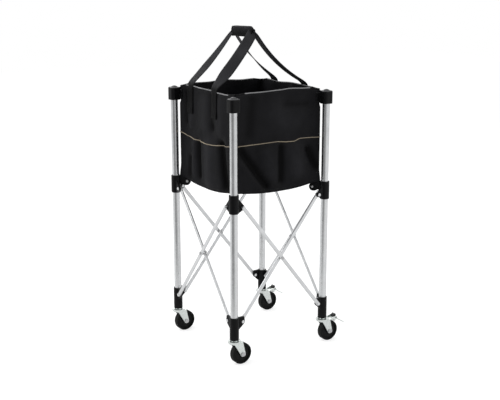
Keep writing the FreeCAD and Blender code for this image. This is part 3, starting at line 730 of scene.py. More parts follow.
# The floor spans its four edges, arches a little where it is stiffened, and has a soft ridge along each
# diagonal.
floor_lift = 0.011
floor_ridge = 0.004
floor_ridge_width = 0.05
floor_wave_scales = ((16, 7, 0.0022), (46, 2, 0.0007))
floor_share = (across_line + cloth_reach) / (2 * cloth_reach)
for i in range(1, side_cells):
    for j in range(1, side_cells):
        u, v = floor_share[i], floor_share[j]
        front_edge, rear_edge = cloth[floor_point(i, 0)], cloth[floor_point(i, side_cells)]
        left_edge, right_edge = cloth[floor_point(0, j)], cloth[floor_point(side_cells, j)]
        corner_part = ((1 - u) * (1 - v) * cloth[floor_point(0, 0)]
                       + u * (1 - v) * cloth[floor_point(side_cells, 0)]
                       + u * v * cloth[floor_point(side_cells, side_cells)]
                       + (1 - u) * v * cloth[floor_point(0, side_cells)])
        place = (1 - v) * front_edge + v * rear_edge + (1 - u) * left_edge + u * right_edge - corner_part
        arch = 16 * u * (1 - u) * v * (1 - v)
        off_diagonal = abs(abs(u - 0.5) - abs(v - 0.5)) / floor_ridge_width
        ridge = math.exp(-off_diagonal ** 2) * 4 * abs(u - 0.5) * abs(v - 0.5)
        wave = sum(noise.noise(Vector((place[0] * scale, place[1] * scale, start))) * height
                   for scale, start, height in floor_wave_scales)
        place[2] += floor_lift * arch + floor_ridge * ridge * min(1, 4 * arch) + wave * min(1, 2 * arch)
        cloth[floor_point(i, j)] = place

# Which part of the cloth each face belongs to. The walls and floor gores fold with their sides, and the
# narrow corners stay with their posts.
cloth_faces = {}


def add_face(part, *face):
    """Give a face to a part of the cloth."""
    cloth_faces.setdefault(part, []).append(face)


for column in range(ring_count):
    side, cell = divmod(column, side_cells)
    if cell < corner_cells:
        part = "corner_" + corners[side]
    elif cell >= side_cells - corner_cells:
        part = "corner_" + corners[(side + 1) % 4]
    else:
        part = "wall_" + walls[side]
    for row in range(row_count - 1):
        add_face(part, ring_point(column, row), ring_point(column + 1, row),
                 ring_point(column + 1, row + 1), ring_point(column, row + 1))
for i in range(side_cells):
    for j in range(side_cells):
        at_x = i < corner_cells or i >= side_cells - corner_cells
        at_y = j < corner_cells or j >= side_cells - corner_cells
        a, b = floor_point(i, j), floor_point(i, j + 1)
        c, d = floor_point(i + 1, j + 1), floor_point(i + 1, j)
        if at_x and at_y:
            name = ("front_" if j < corner_cells else "rear_") + ("left" if i < corner_cells else "right")
            add_face("corner_" + name, a, b, c, d)
        elif i == j:
            add_face("gore_" + ("left" if i + j < side_cells else "rear"), a, b, c)
            add_face("gore_" + ("front" if i + j < side_cells else "right"), a, c, d)
        elif i + j == side_cells - 1:
            add_face("gore_" + ("left" if i < j else "front"), a, b, d)
            add_face("gore_" + ("rear" if i < j else "right"), b, c, d)
        elif i + j < side_cells:
            add_face("gore_" + ("front" if i > j else "left"), a, b, c, d)
        else:
            add_face("gore_" + ("right" if i > j else "rear"), a, b, c, d)

cloth_normal = np.zeros_like(cloth)
for faces in cloth_faces.values():
    for face in faces:
        corners_of_face = cloth[list(face)]
        facing = np.cross(corners_of_face[2] - corners_of_face[0], corners_of_face[-1] - corners_of_face[1])
        for point in face:
            cloth_normal[point] += facing
cloth_normal /= np.linalg.norm(cloth_normal, axis=1)[:, None]


def mesh_piece(name, points, faces, material, normals=None):
    """A new piece from points and faces, smooth, with its material."""
    mesh = bpy.data.meshes.new(name)
    mesh.from_pydata([tuple(p) for p in points], [], faces)
    mesh.materials.append(material)
    mesh.polygons.foreach_set("use_smooth", [True] * len(mesh.polygons))
    if normals is not None:
        mesh.normals_split_custom_set([tuple(n) for n in normals])
    mesh.update()
    piece = bpy.data.objects.new(name, mesh)
    bpy.context.scene.collection.objects.link(piece)
    return piece


def paint_light_shares(piece, values):
    """How much painted light each point of a piece gets, from 0, its full painted shade, to 1."""
    shade_painted = piece.data.attributes.new("painted_light_share", "FLOAT", "POINT")
    shade_painted.data.foreach_set("value", [float(value) for value in values])


def cloth_piece(name, faces, material):
    """One part of the bag with the cloth's thickness, shaded as one surface with its neighbours."""
    used = sorted({point for face in faces for point in face})
    place = {point: n for n, point in enumerate(used)}
    count = len(used)
    points = np.concatenate((cloth[used] + cloth_normal[used] * cloth_half,
                             cloth[used] - cloth_normal[used] * cloth_half))
    made, normals, edges = [], [], {}
    for face in faces:
        inside = [place[point] for point in face]
        made.append(inside)
        normals += [cloth_normal[point] for point in face]
        made.append([n + count for n in reversed(inside)])
        normals += [-cloth_normal[point] for point in reversed(face)]
        for start, end in zip(inside, inside[1:] + inside[:1]):
            if (end, start) in edges:
                del edges[(end, start)]
            else:
                edges[(start, end)] = True
    for start, end in edges:
        made.append([end, start, start + count, end + count])
        facing = np.cross(points[start] - points[end], points[start + count] - points[start])
        normals += [facing / np.linalg.norm(facing)] * 4
    piece = mesh_piece(name, points, made, material, normals)
    paint_light_shares(piece, np.tile(painted_fold_light[used], 2))
    return piece


def woven_group():
    """A plain weave of fine threads, with soft blotches where the coating is worn."""
    tree, start, end = group_with(
        "woven_cloth",
        [("Vector", "NodeSocketVector", None), ("Threads", "NodeSocketFloat", 5200.0),
         ("Depth", "NodeSocketFloat", 0.3), ("Smooth", "NodeSocketFloat", 0.5),
         ("Dull", "NodeSocketFloat", 0.75)],
        [("Tone", "NodeSocketFloat"), ("Roughness", "NodeSocketFloat"), ("Normal", "NodeSocketVector")])
    split = add_node(tree, "SeparateXYZ", {0: start["Vector"]}).outputs
    level = maths(tree, "ADD", split["X"], split["Y"])
    warp = maths(tree, "SINE", maths(tree, "MULTIPLY", level, start["Threads"]))
    weft = maths(tree, "SINE", maths(tree, "MULTIPLY", split["Z"], start["Threads"]))
    weave = maths(tree, "MULTIPLY_ADD", maths(tree, "MULTIPLY", warp, weft), 0.5, 0.5)
    blotch = ranged(tree, clouds(tree, start["Vector"], scale=14, detail=6), 0.32, 0.68)
    bump = add_node(tree, "Bump", {"Strength": start["Depth"], "Distance": 0.00025, "Height": weave})
    worn = maths(tree, "MULTIPLY", blotch, 0.75)
    set_inputs(tree, end, {"Tone": maths(tree, "MULTIPLY_ADD", weave, 0.25, worn),
                           "Roughness": ranged(tree, blotch, 0.0, 1.0, start["Smooth"], start["Dull"]),
                           "Normal": bump.outputs[0]})
    return tree


woven_cloth = woven_group()
# How far painted shade darkens the cloth, and how far painted light lightens it.
painted_shade_tone = 0.15
painted_light_tone = 2.0


def cloth_material(name, dark, light, threads, depth, smooth, dull, sheen, gloss,
                   laid_out=False, shade_painted=False):
    """Woven cloth, with its sheen on the shader itself. A laid out band weaves along its own length, and
    cloth with painted shade is darker or lighter as its points say, with painted shade in the valleys of its
    folds and a painted highlight on their ridges."""
    material, tree, shader = new_material(name)
    if laid_out:
        place = add_node(tree, "Attribute", attribute_name="band_place").outputs["Vector"]
    else:
        place = object_place(tree)
    weave = add_node(tree, "Group", {"Vector": place, "Threads": threads, "Depth": depth, "Smooth": smooth,
                                     "Dull": dull}, node_tree=woven_cloth).outputs
    colour = mixed(tree, weave["Tone"], (*dark, 1), (*light, 1), "RGBA")
    # Painted shade and painted light, from each point's share of painted light.
    if shade_painted:
        light_mask = add_node(tree, "Attribute", attribute_name="painted_light_share").outputs["Fac"]
        light_scale = ranged(tree, light_mask, 0.0, 1.0, painted_shade_tone, painted_light_tone)
        colour = add_node(tree, "VectorMath", {0: colour, "Scale": light_scale}, operation="SCALE").outputs[0]
    set_inputs(tree, shader, {"Base Color": colour, "Roughness": weave["Roughness"],
                              "Normal": weave["Normal"], "Sheen Weight": sheen, "Sheen Roughness": 0.4,
                              "Specular IOR Level": gloss})
    return material


# The bag cloth is painted darker in the valleys of its folds and lighter on their ridges.
bag_cloth = cloth_material("bag_cloth", (0.0052, 0.0052, 0.0060), (0.0112, 0.0112, 0.0127), threads=5200.0,
                           depth=0.35, smooth=0.42, dull=0.60, sheen=0.008, gloss=0.055, shade_painted=True)
binding_cloth = cloth_material("binding_cloth", (0.0045, 0.0045, 0.0050), (0.0095, 0.0095, 0.0105),
                               threads=5200.0, depth=0.35, smooth=0.5, dull=0.70, sheen=0.01, gloss=0.08)

# Which body the cloth rides with. When the cart folds, neighbouring posts come closer and the sliders rise.
# Each side rides with one of its posts.
wall_bodies = {"front": "post_front_left_body", "right": "post_front_right_body",
               "rear": "post_rear_left_body", "left": "post_front_left_body"}


def fold_with_wall(piece, side, body=None):
    """The piece rides with its wall's body, or the body given, with a mesh of its own."""
    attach(piece, body or wall_bodies[side])
    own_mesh(piece)


def fold_with_corner(piece, corner):
    """The piece rides with its post, with a mesh of its own."""
    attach(piece, "post_" + corner + "_body")
    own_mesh(piece)


for part, faces in cloth_faces.items():
    kind, where = part.split("_", 1)
    piece = cloth_piece("bag_cloth_" + part, faces, bag_cloth)
    if kind == "wall":
        fold_with_wall(piece, where)
        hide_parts("bag_wall_" + where)
    elif kind == "gore":
        fold_with_wall(piece, where, "bag_floor_" + where + "_body")
        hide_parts("bag_floor_" + where)
    else:
        fold_with_corner(piece, where)


# Piping and stitching of the bag
# A grey cord is sewn into the rim, under a black binding near the caps, and a thinner gold one into the
# middle seam. Thread runs under the rim, beside both edges of the seam and above the hem, in stitches of
# about 3 mm.
def cloth_line(columns, row, stand):
    """Points along the cloth at a row, which may fall between two, standing off its outer face."""
    low = int(row)
    high = min(low + 1, row_count - 1)
    points = []
    for column in columns:
        below, above = cloth[ring_point(column, low)], cloth[ring_point(column, high)]
        place = below * (low + 1 - row) + above * (row - low)
        points.append(place + ring_level[column % ring_count, low] * stand)
    return np.array(points)


def ring_faces(first, rings, around, inside_out=False):
    """Faces between rings of points that follow each other, from the first point on."""
    faces = []
    for n in range(rings - 1):
        for k in range(around):
            a, b = first + n * around + k, first + n * around + (k + 1) % around
            faces.append([a, b, b + around, a + around] if inside_out else [a, a + around, b + around, b])
    return faces


upright_limit = 0.2


def round_lines(name, lines, radius, material, around):
    """Round cords or threads along lines of points, with closed ends."""
    points, faces = [], []
    turns = [2 * math.pi * n / around for n in range(around)]
    for line in lines:
        line = [Vector(p) for p in line]
        first = len(points)
        for n, place in enumerate(line):
            run = (line[min(n + 1, len(line) - 1)] - line[max(n - 1, 0)]).normalized()
            side = run.cross(Vector((0, 0, 1)))
            if side.length < upright_limit:
                side = run.cross(Vector((1, 0, 0)))
            side.normalize()
            up = side.cross(run)
            points += [place + (side * math.cos(a) + up * math.sin(a)) * radius for a in turns]
        faces += ring_faces(first, len(line), around)
        faces.append([first + k for k in range(around)])
        faces.append([first + (len(line) - 1) * around + k for k in reversed(range(around))])
    return mesh_piece(name, points, faces, material)


def stitches(line, proud):
    """Short threads along a line, each bowed a little off the cloth."""
    line = np.array(line)
    reach = np.concatenate(([0], np.cumsum(np.linalg.norm(np.diff(line, axis=0), axis=1))))
    count = int(reach[-1] / (stitch_length + stitch_gap))
    made = []
    for n in range(count):
        start = (n + 0.5) * reach[-1] / count - stitch_length / 2
        stops = [start + share * stitch_length for share in (0, 0.5, 1)]
        places = [np.array([np.interp(stop, reach, line[:, axis]) for axis in range(3)]) for stop in stops]
        places[1] = places[1] + proud
        made.append(places)
    return made


piping_cord = cloth_material("piping_cord", (0.17, 0.17, 0.175), (0.36, 0.36, 0.37), threads=3800.0,
                             depth=0.5, smooth=0.5, dull=0.7, sheen=0.1, gloss=0.3)
gold_cord = cloth_material("gold_cord", (0.22, 0.185, 0.140), (0.46, 0.385, 0.275), threads=3800.0,
                           depth=0.5, smooth=0.45, dull=0.65, sheen=0.1, gloss=0.3)
bag_thread = cloth_material("bag_thread", (0.012, 0.012, 0.013), (0.030, 0.030, 0.032), threads=3000.0,
                            depth=0.4, smooth=0.5, dull=0.7, sheen=0.05, gloss=0.2)
rim_row = row_count - 1
binding_columns = 4
cord_around = 8
rim_cord_radius = 0.0018
rim_binding_radius = 0.0021
seam_cord_radius = 0.0014
thread_around = 5
thread_radius = 0.0003
stitch_length = 0.0031
stitch_gap = 0.0013

# The rows that thread runs along: above the hem, below and above the seam, and under the rim.
thread_rows = (1.9, seam_row - 0.65, seam_row + 0.6, rim_row - 0.85)
for side, wall in enumerate(walls):
    first = side * side_cells
    wall_columns = range(first + corner_cells, first + side_cells - corner_cells + 1)
    corner_columns = range(first - corner_cells, first + corner_cells + 1)
    for where, columns in (("wall_" + wall, wall_columns), ("corner_" + corners[side], corner_columns)):
        on_wall = where.startswith("wall")
        rim_line = cloth_line(columns, rim_row, 0)
        rim_line[:, 2] += rim_cord_radius / 2
        if on_wall:
            shown = rim_line[binding_columns:len(rim_line) - binding_columns]
            ends = [rim_line[:binding_columns + 1], rim_line[len(rim_line) - binding_columns - 1:]]
            rim_cords = [round_lines("rim_cord_" + where, [shown], rim_cord_radius, piping_cord, cord_around)]
        else:
            ends = [rim_line]
            rim_cords = []
        binding = round_lines("rim_binding_" + where, ends, rim_binding_radius, binding_cloth, cord_around)
        seam_line = cloth_line(columns, seam_row, cloth_half + seam_cord_radius / 2)
        seam_cord = round_lines("seam_cord_" + where, [seam_line], seam_cord_radius, gold_cord, cord_around)
        for cord in (*rim_cords, binding, seam_cord):
            if on_wall:
                fold_with_wall(cord, wall)
            else:
                fold_with_corner(cord, corners[side])
    threads = []
    for row in thread_rows:
        thread_line = cloth_line(wall_columns, row, cloth_half)
        threads += stitches(thread_line, np.append(wall_outward[side], 0) * thread_radius)
    stitching = round_lines("bag_stitching_" + wall, threads, thread_radius, bag_thread, thread_around)
    fold_with_wall(stitching, wall)


# Corner tabs of the bag
# A short loop of webbing is sewn into each lower corner of the bag and passes round the slider's hook. Two
# cheeks of doubled cloth close the loop's sides, sewn round their edges, and the hook's screw pins them.
band_thinning_share = 0.8


def band_piece(name, surface, half_thick, material, row_light_shares=None):
    """A band of webbing from rows of points across it, with rolled edges and its weave laid out along it.
    Each row has its share of painted light; a band without shares has none, which leaves shaded cloth in full
    painted shade."""
    surface = np.array(surface, float)
    rows, across = surface.shape[:2]
    normal = np.cross(np.gradient(surface, axis=0), np.gradient(surface, axis=1))
    normal /= np.linalg.norm(normal, axis=2)[:, :, None]
    edge = np.abs(np.linspace(-1, 1, across))
    half = half_thick * np.sqrt(1.0 - band_thinning_share * edge ** 6)
    rise = normal * half[None, :, None]
    points = np.concatenate((surface + rise, surface - rise)).reshape(-1, 3)
    run = np.concatenate(([0], np.cumsum(np.linalg.norm(np.diff(surface[:, across // 2], axis=0), axis=1))))
    width = np.linalg.norm(surface[:, -1] - surface[:, 0], axis=1)
    laid = [(width[n] * (k / (across - 1) - 0.5), 0.0, run[n])
            for n in range(rows) for k in range(across)] * 2
    count = rows * across
    faces = []
    for n in range(rows - 1):
        for k in range(across - 1):
            a, b = n * across + k, n * across + k + 1
            faces.append([a, a + across, b + across, b])
            faces.append([count + a, count + b, count + b + across, count + a + across])
        for k, way in ((0, 1), (across - 1, -1)):
            a = n * across + k
            faces.append([a, count + a, count + a + across, a + across][::way])
    for n, way in ((0, 1), (rows - 1, -1)):
        for k in range(across - 1):
            a = n * across + k
            faces.append([a, a + 1, count + a + 1, count + a][::way])
    piece = mesh_piece(name, points, faces, material)
    place = piece.data.attributes.new("band_place", "FLOAT_VECTOR", "POINT")
    place.data.foreach_set("vector", [value for vector in laid for value in vector])
    paint_light_shares(piece, np.tile(np.repeat(np.zeros(rows) if row_light_shares is None else row_light_shares, across), 2))
    return piece


# Webbing with painted shade: the sewn feet and the tab loops are darkened, and the free runs painted lighter.
webbing = cloth_material("webbing", (0.0105, 0.0105, 0.0115), (0.023, 0.023, 0.025), threads=2600.0,
                         depth=0.8, smooth=0.5, dull=0.68, sheen=0.012, gloss=0.07, laid_out=True,
                         shade_painted=True)
hook_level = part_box("slider_front_left")[1].z - hook_drop
hook_eye_round = 0.0085
tab_half_width = 0.0062
tab_half_thick = 0.0010
tab_columns = 5
tab_off_eye_share = 2.2
tab_bend = hook_eye_round + tab_off_eye_share * tab_half_thick

# A tab's way, as reach inwards from the post's axis and height: down from the bag, onto the hook's eye,
# round it in steps of 15 degrees, and back under it.
tab_start_reach = 0.0215
tab_way_down = ((0.0, 0.012), (0.001, 0.003), (0.005, -0.004))
tab_way_on = (-0.006, 0.0012)
tab_way_back = ((-0.006, 0.0004), (-0.011, -0.0002))
tab_path = [(tab_start_reach + reach, hem_level + rise) for reach, rise in tab_way_down]
tab_path.append((hook_reach + tab_way_on[0], hook_level + tab_bend + tab_way_on[1]))
for degrees in range(90, -91, -15):
    turn = math.radians(degrees)
    tab_path.append((hook_reach + tab_bend * math.cos(turn), hook_level + tab_bend * math.sin(turn)))
tab_path += [(hook_reach + reach, hook_level - tab_bend + rise) for reach, rise in tab_way_back]

# The outline of a cheek: reach inwards from the post's axis, and height over the hook. Its rings, and the
# nut's, go from the foot to the crown, each with its share of the size and of the height.
cheek_outline = ((0.0165, 0.0300), (0.0300, 0.0320), (0.0420, 0.0230), (0.0505, 0.0090), (0.0520, -0.0040),
                 (0.0480, -0.0135), (0.0360, -0.0155), (0.0245, -0.0120), (0.0172, 0.0020))
cheek_gap = 0.0001
cheek_foot = hook_half_plate + cheek_gap
cheek_thick = 0.0012
cheek_ring_shares = ((1.0, 0.0), (1.0, 0.55), (0.975, 0.9), (0.93, 1.0), (0.6, 1.0), (0.3, 1.0))
cheek_seam_share = 0.90
nut_radius = 0.0044
nut_height = 0.0022
nut_foot_share = 0.9
nut_foot = cheek_foot + cheek_thick * nut_foot_share
nut_sides = 20
nut_ring_shares = ((1.0, 0.0), (1.0, 0.35), (0.93, 0.62), (0.75, 0.85), (0.45, 0.97), (0.12, 1.0))


def rounded(points, times):
    """A closed outline with its corners cut a few times over."""
    points = np.array(points, float)
    for again in range(times):
        after = np.roll(points, -1, axis=0)
        points = np.stack((0.75 * points + 0.25 * after, 0.25 * points + 0.75 * after), axis=1).reshape(-1, 2)
    return points


def hook_place(post, spot, off):
    """A point by a post's hook, from its reach and height and how far it is off the hook's middle plane."""
    inward = -post.normalized()
    level = Vector((-inward.y, inward.x, 0))
    return tuple(post + inward * spot[0] + Vector((0, 0, hook_level + spot[1])) + level * off)


def tab_loop(corner, post):
    """The loop of webbing round one hook."""
    inward = -post.normalized()
    level = Vector((-inward.y, inward.x, 0))
    shares = np.linspace(-1, 1, tab_columns)
    rows = []
    for reach, rise in tab_path:
        centre = post + inward * reach + Vector((0, 0, rise))
        rows.append([tuple(centre + level * tab_half_width * share) for share in shares])
    return band_piece("bag_tab_" + corner, rows, tab_half_thick, webbing)


def tab_cheeks(corner, post):
    """The two cheeks of one loop, and the stitches round them."""
    inward = -post.normalized()
    level = np.array((-inward.y, inward.x, 0))
    outline = rounded(cheek_outline, 2)
    middle = outline.mean(axis=0)
    around = len(outline)
    points, faces, threads = [], [], []
    for way in (-1, 1):
        first = len(points)
        last = first + (len(cheek_ring_shares) - 1) * around
        for size, height in cheek_ring_shares:
            ring = middle + (outline - middle) * size
            points += [hook_place(post, spot, way * (cheek_foot + cheek_thick * height)) for spot in ring]
        points.append(hook_place(post, middle, way * (cheek_foot + cheek_thick)))
        made = [list(range(first, first + around))] + ring_faces(first, len(cheek_ring_shares), around)
        made += [[last + k, last + around, last + (k + 1) % around] for k in range(around)]
        faces += made if way > 0 else [face[::-1] for face in made]
        seam_line = middle + (outline - middle) * cheek_seam_share
        seam = [hook_place(post, spot, way * (cheek_foot + cheek_thick)) for spot in seam_line]
        threads += stitches(seam + seam[:1], level * way * thread_radius)
    return (mesh_piece("bag_tab_cheeks_" + corner, points, faces, binding_cloth),
            round_lines("tab_stitching_" + corner, threads, thread_radius, bag_thread, thread_around))


def hook_nut(corner, post):
    """The screw's cap nut, on the side away from its head."""
    points = []
    for size, height in nut_ring_shares:
        for turn in np.linspace(0, 2 * math.pi, nut_sides, endpoint=False):
            spot = (hook_reach + nut_radius * size * math.cos(turn), nut_radius * size * math.sin(turn))
            points.append(hook_place(post, spot, nut_foot + nut_height * height))
    faces = ring_faces(0, len(nut_ring_shares), nut_sides, inside_out=True)
    faces.append(list(reversed(range(nut_sides))))
    faces.append([(len(nut_ring_shares) - 1) * nut_sides + k for k in range(nut_sides)])
    return mesh_piece("hook_nut_" + corner, points, faces, bright_steel)


for corner in corners:
    post = post_place(corner)
    sewn = (tab_loop(corner, post), *tab_cheeks(corner, post))
    nut = hook_nut(corner, post)
    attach(nut, "slider_" + corner + "_body")
    for piece in sewn:
        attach(piece, "slider_" + corner + "_body")


# Corner flaps of the bag
# At each upper corner a flap of doubled binding cloth runs from the bag into a slot down the side of the
# post's cap, which clamps it.
flap_root = 0.0165
flap_low_rise = 0.0015
flap_top_drop = 0.0065
flap_rim_drop = 0.0012
flap_rows = 9
flap_columns = 4
flap_half_thick = 0.0014
for side, corner in enumerate(corners):
    post = post_place(corner)
    inward = -post.normalized()
    cap_low, cap_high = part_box("cap_" + corner)
    rim_corner = Vector(cloth_line([side * side_cells], rim_row, 0)[0])
    flap_reach = (rim_corner.xy - post.xy).length
    foot_rise = cap_low.z + flap_low_rise
    rows = []
    for height_share in np.linspace(0, 1, flap_rows):
        row = []
        for share in np.linspace(0, 1, flap_columns):
            top_rise = (cap_high.z - flap_top_drop) * (1 - share) + (rim_corner.z - flap_rim_drop) * share
            spot = post + inward * (flap_root + (flap_reach - flap_root) * share)
            row.append((spot.x, spot.y, foot_rise + (top_rise - foot_rise) * height_share))
        rows.append(row)
    flap = band_piece("bag_flap_" + corner, rows, flap_half_thick, binding_cloth)
    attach(flap, "post_" + corner + "_body")


# Handle straps
# Four legs of 38 mm webbing. Each is folded under at its foot, box-stitched to the outside of a side wall,
# bowed a little on its way up, and narrowed and turned on edge where it goes into the end of the grip. The
# sewn foot is darkened with painted shade, and the free run is painted lighter.
strap_half_width = 0.019
strap_half_thick = 0.00125
strap_crest_rise = 0.006
strap_rim_rise = 0.001
strap_top_spread = 0.0045
strap_end_gap = 0.001
strap_cloth_gap = 0.0002
strap_drop = 0.0043
strap_hem = 0.020
strap_hem_share = 0.8
strap_hem_step = 0.002
strap_narrow_share = 0.35
strap_tail_rows = 16
strap_run_steps = 26
strap_columns = 9
strap_shade_rows = 3
strap_easings = 5
crest_eased_rows = 4
top_eased_rows = 3
top_kept_rows = 2
grip_low, grip_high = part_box("handle_grip")
grip_shift = Vector((0, 0.003, -0.0072))
grip_centre = (grip_low + grip_high) / 2 + grip_shift
grip_half_length = 0.060
grip_tilt = 0.0012

# How each leg hangs: its bow as a share of its run, how far it turns on its way up in degrees, by which
# share of its run it has turned, and its half width at the grip.
strap_hang_shares = {("left", "front"): (0.06, 46, 0.35, 0.0175), ("left", "rear"): (0.05, 8, 0.5, 0.0095),
                     ("right", "front"): (0.14, 1, 0.4, 0.0175), ("right", "rear"): (0.09, 46, 1.0, 0.0150)}

# The end of a leg in the grip: how far in it is, and its share of the width there.
strap_end_shares = ((0.0025, 0.97), (0.005, 0.9), (0.0075, 0.8), (0.010, 0.7))
strap_end_lean_share = 0.4
strap_end_rise_share = 0.6

# The box stitch of a leg's foot, with its crossed lines. A seam is two corners of the box, each a side and
# a level.
box_stitch_low = 0.005
box_stitch_side = 0.030
box_stitch_share = 0.8
box_stitch_steps = 9
box_seams = (((-1, 0), (1, 0)), ((1, 0), (1, 1)), ((1, 1), (-1, 1)), ((-1, 1), (-1, 0)), ((-1, 0), (1, 1)),
             ((1, 0), (-1, 1)))
rim_stitch_drop = 0.008
stitch_rise = 0.0001


def strap_surface(wall, end, tail_low):
    """Rows of points across a leg, with the places of its crest over the rim and its top at the grip."""
    base_y = strap_places[(wall, end)]
    side = walls.index(wall)
    wall_way = 1 if wall == "right" else -1
    end_way = 1 if end == "rear" else -1
    shares = np.linspace(-1, 1, strap_columns)
    surface = []
    for level_z in np.linspace(tail_low, rim_level + strap_rim_rise, strap_tail_rows):
        across = (base_y + shares * strap_half_width) * wall_along[side][1]
        places, outward = cloth_points(side, across, np.full(strap_columns, min(level_z, rim_level)))
        places[:, 2] = level_z
        doubled = float(smooth_step((tail_low + strap_hem - level_z) / strap_hem_step))
        off = cloth_half + strap_half_thick + strap_half_thick * strap_hem_share * doubled + strap_cloth_gap
        surface.append(places + outward * off)
    base = Vector(surface[-1][strap_columns // 2])
    crest = Vector((base.x, base_y, rim_level + strap_crest_rise))
    top = Vector((grip_centre.x + wall_way * strap_top_spread,
                  grip_centre.y + end_way * (grip_half_length + strap_end_gap), grip_centre.z - strap_drop))
    strap_bow, full_turn, turned_by, top_half_width = strap_hang_shares[(wall, end)]
    run = (top - crest).normalized()
    level_across = (Vector((0, 1, 0)) - run * run.y).normalized()
    up_across = run.cross(level_across)
    if up_across.z < 0:
        up_across.negate()
    for step in range(strap_run_steps + 1):
        share = step / strap_run_steps
        bow = strap_bow * 2 * share * (1 - share)
        centre = Vector((crest.x + (top.x - crest.x) * (share + bow), crest.y + (top.y - crest.y) * share,
                         crest.z + (top.z - crest.z) * (share - bow)))
        turn = math.radians(full_turn) * float(smooth_step(share / turned_by))
        narrowed = max(0.0, (share - strap_narrow_share) / (1 - strap_narrow_share))
        width = strap_half_width + (top_half_width - strap_half_width) * narrowed
        across = (level_across * math.cos(turn) + up_across * math.sin(turn)) * width
        surface.append([tuple(centre + across * s) for s in shares])
    for inward, part in strap_end_shares:
        lean = -wall_way * inward * strap_end_lean_share
        centre = top + Vector((lean, -end_way * inward, inward * strap_end_rise_share))
        surface.append([tuple(centre + across * part * s) for s in shares])
    surface = np.array(surface)
    for again in range(strap_easings):
        eased = surface.copy()
        eased[1:-1] = (surface[:-2] + 2 * surface[1:-1] + surface[2:]) / 4
        near_crest = slice(strap_tail_rows - crest_eased_rows, strap_tail_rows + crest_eased_rows)
        near_top = slice(strap_tail_rows + strap_run_steps - top_eased_rows, len(surface) - top_kept_rows)
        surface[near_crest] = eased[near_crest]
        surface[near_top] = eased[near_top]
    return surface, crest, top


def on_strap(surface, side, share, height):
    """A point on the outside of a leg's foot, at a share of its half width and a height."""
    row = np.interp(height, surface[:strap_tail_rows, strap_columns // 2, 2], range(strap_tail_rows))
    low = min(int(row), strap_tail_rows - 2)
    column = (share + 1) / 2 * (strap_columns - 1)
    left = min(int(column), strap_columns - 2)
    a = surface[low, left] * (left + 1 - column) + surface[low, left + 1] * (column - left)
    b = surface[low + 1, left] * (left + 1 - column) + surface[low + 1, left + 1] * (column - left)
    place = a * (low + 1 - row) + b * (row - low)
    return place + np.append(wall_outward[side], 0) * (strap_half_thick + stitch_rise)


def strap_threads(surface, side, tail_low):
    """The box stitch on a leg's foot, and one row across it under the rim."""
    levels = (tail_low + box_stitch_low, tail_low + box_stitch_low + box_stitch_side)
    seams = [[(box_stitch_share * way, levels[level]) for way, level in seam] for seam in box_seams]
    seams.append([(box_stitch_share * way, rim_level - rim_stitch_drop) for way in (-1, 1)])
    threads = []
    for (a_share, a_height), (b_share, b_height) in seams:
        shares = np.linspace(a_share, b_share, box_stitch_steps)
        heights = np.linspace(a_height, b_height, box_stitch_steps)
        line = [on_strap(surface, side, share, height) for share, height in zip(shares, heights)]
        threads += stitches(line, np.append(wall_outward[side], 0) * thread_radius)
    return threads


for wall, end in strap_places:
    name = "handle_strap_" + wall + "_" + end
    tail_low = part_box(name)[0].z
    surface, crest, top = strap_surface(wall, end, tail_low)
    # Painted shade on the sewn foot, painted light on the free run above the rim.
    free_shares = smooth_step((np.arange(len(surface)) - strap_tail_rows + 1) / strap_shade_rows)
    strap = band_piece("carry_strap_" + wall + "_" + end, surface, strap_half_thick, webbing, free_shares)
    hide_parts(name)
    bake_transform(strap)
    threads = strap_threads(surface, walls.index(wall), tail_low)
    strap_thread = round_lines("strap_stitching_" + wall + "_" + end, threads, thread_radius, bag_thread,
                               thread_around)
    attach(strap_thread, name + "_body")


# Grip
# A padded wrap that closes round the four strap ends. Its cover laps over itself along the underside and is
# sewn there, its ends are bound, and one end of its top is drawn down by the straps.
grip_columns = 44
grip_rows = 46
grip_lap = 0.0011
grip_seam_turn = math.radians(215)
grip_half_thick = grip_high.x - grip_centre.x
grip_half_height = 0.0180
grip_squareness = 3.2
grip_width_share = 0.86
grip_narrowing_share = 0.24
grip_lowering_share = 0.07
grip_waist_share = 0.03
grip_waist_turn = 3.1
grip_top_light = 0.75
wall_of_wrap = 0.0022

# Dents of the padding, broad and fine: how fast they change across and along the grip, and how deep they are.
broad_dent_scales = (70, 34)
broad_dent = 0.0007
fine_dent_scales = (190, 90)
fine_dent = 0.0002
fine_dent_start = 5

# Where the top is drawn down: towards which end, from which share of the half length on, and how far.
grip_drawn_shares = ((-1, 0.70, 0.0095), (1, 0.86, 0.0020))


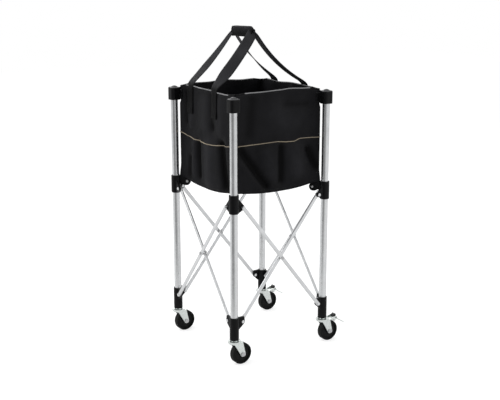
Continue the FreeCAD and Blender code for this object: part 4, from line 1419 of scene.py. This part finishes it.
def grip_ring(along, inset=0.0, lapped=True):
    """One ring of the wrap at a share of its length, a little inside its outer face where asked."""
    narrowing = grip_width_share - grip_narrowing_share * abs(along) ** 4
    waist = 1 - grip_waist_share * math.cos(grip_waist_turn * along)
    half_thick = grip_half_thick * narrowing * waist - inset
    half_height = grip_half_height * (1 - grip_lowering_share * abs(along) ** 8) - inset
    drawn = sum(float(smooth_step((way * along - start) / (1 - start))) * drop
                for way, start, drop in grip_drawn_shares)
    y = grip_half_length * along
    ring = []
    for n in range(grip_columns):
        turned = n / (grip_columns - 1)
        angle = grip_seam_turn + 2 * math.pi * turned
        c, s = math.cos(angle), math.sin(angle)
        reach = (abs(c) ** grip_squareness + abs(s) ** grip_squareness) ** (-1 / grip_squareness)
        x, z = half_thick * c * reach, half_height * s * reach
        if lapped:
            x -= grip_lap * c * turned
            z -= grip_lap * s * turned
        z -= drawn * max(0.0, s) ** 0.5 + grip_tilt * along
        broad_place = Vector((x * broad_dent_scales[0], y * broad_dent_scales[1], z * broad_dent_scales[0]))
        fine_place = Vector((x * fine_dent_scales[0], y * fine_dent_scales[1], fine_dent_start))
        dent = noise.noise(broad_place) * broad_dent + noise.noise(fine_place) * fine_dent
        ring.append((grip_centre.x + x + dent * c, grip_centre.y + y, grip_centre.z + z + dent * s))
    return ring


# The wrap's rings run from inside one end, over the outer face, to inside the other end.
grip_inner_shares = (0.955, 0.998)
grip_rings = [grip_ring(-along, wall_of_wrap, False) for along in grip_inner_shares]
grip_rings += [grip_ring(along) for along in np.linspace(-1, 1, grip_rows)]
grip_rings += [grip_ring(along, wall_of_wrap, False) for along in reversed(grip_inner_shares)]
grip_points = [point for ring in grip_rings for point in ring]
grip_faces = ring_faces(0, len(grip_rings), grip_columns, inside_out=True)
grip_faces.append(list(reversed(range(grip_columns))))
grip_faces.append([(len(grip_rings) - 1) * grip_columns + k for k in range(grip_columns)])
grip_cloth = cloth_material("grip_cloth", (0.0085, 0.0085, 0.0095), (0.021, 0.021, 0.024), threads=3400.0,
                            depth=0.9, smooth=0.55, dull=0.75, sheen=0.02, gloss=0.07, shade_painted=True)
grip = mesh_piece("grip_wrap", grip_points, grip_faces, grip_cloth)
# Painted light on the wrap's top, fading to painted shade along its underside.
rise_shares = [0.5 + 0.5 * (point[2] - grip_centre.z) / grip_half_height for point in grip_points]
paint_light_shares(grip, [grip_top_light * min(1.0, max(0.0, share)) ** 2 for share in rise_shares])
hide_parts("handle_grip")
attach(grip, "handle_grip_body")

# The bound ends, and the stitches along the lap and round both ends.
binding_share = 0.985
binding_rise = 0.0004
grip_binding_radius = 0.0012
grip_binding_around = 6
seam_share = 0.93
seam_rise = 0.0002
lap_column = 2
lap_steps = 40
bound_rings = [grip_ring(along, -binding_rise) for along in (-binding_share, binding_share)]
grip_binding = round_lines("grip_binding", [ring + ring[:1] for ring in bound_rings], grip_binding_radius,
                           webbing, grip_binding_around)
lap_line = [grip_ring(along, -seam_rise)[lap_column]
            for along in np.linspace(-seam_share, seam_share, lap_steps)]
grip_threads = stitches(lap_line, np.array((-thread_radius, 0, -thread_radius)))
for along in (-seam_share, seam_share):
    grip_threads += stitches(grip_ring(along, -seam_rise), np.zeros(3))
grip_stitching = round_lines("grip_stitching", grip_threads, thread_radius, bag_thread, thread_around)
for piece in (grip_binding, grip_stitching):
    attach(piece, "handle_grip_body")


bpy.context.view_layer.update()
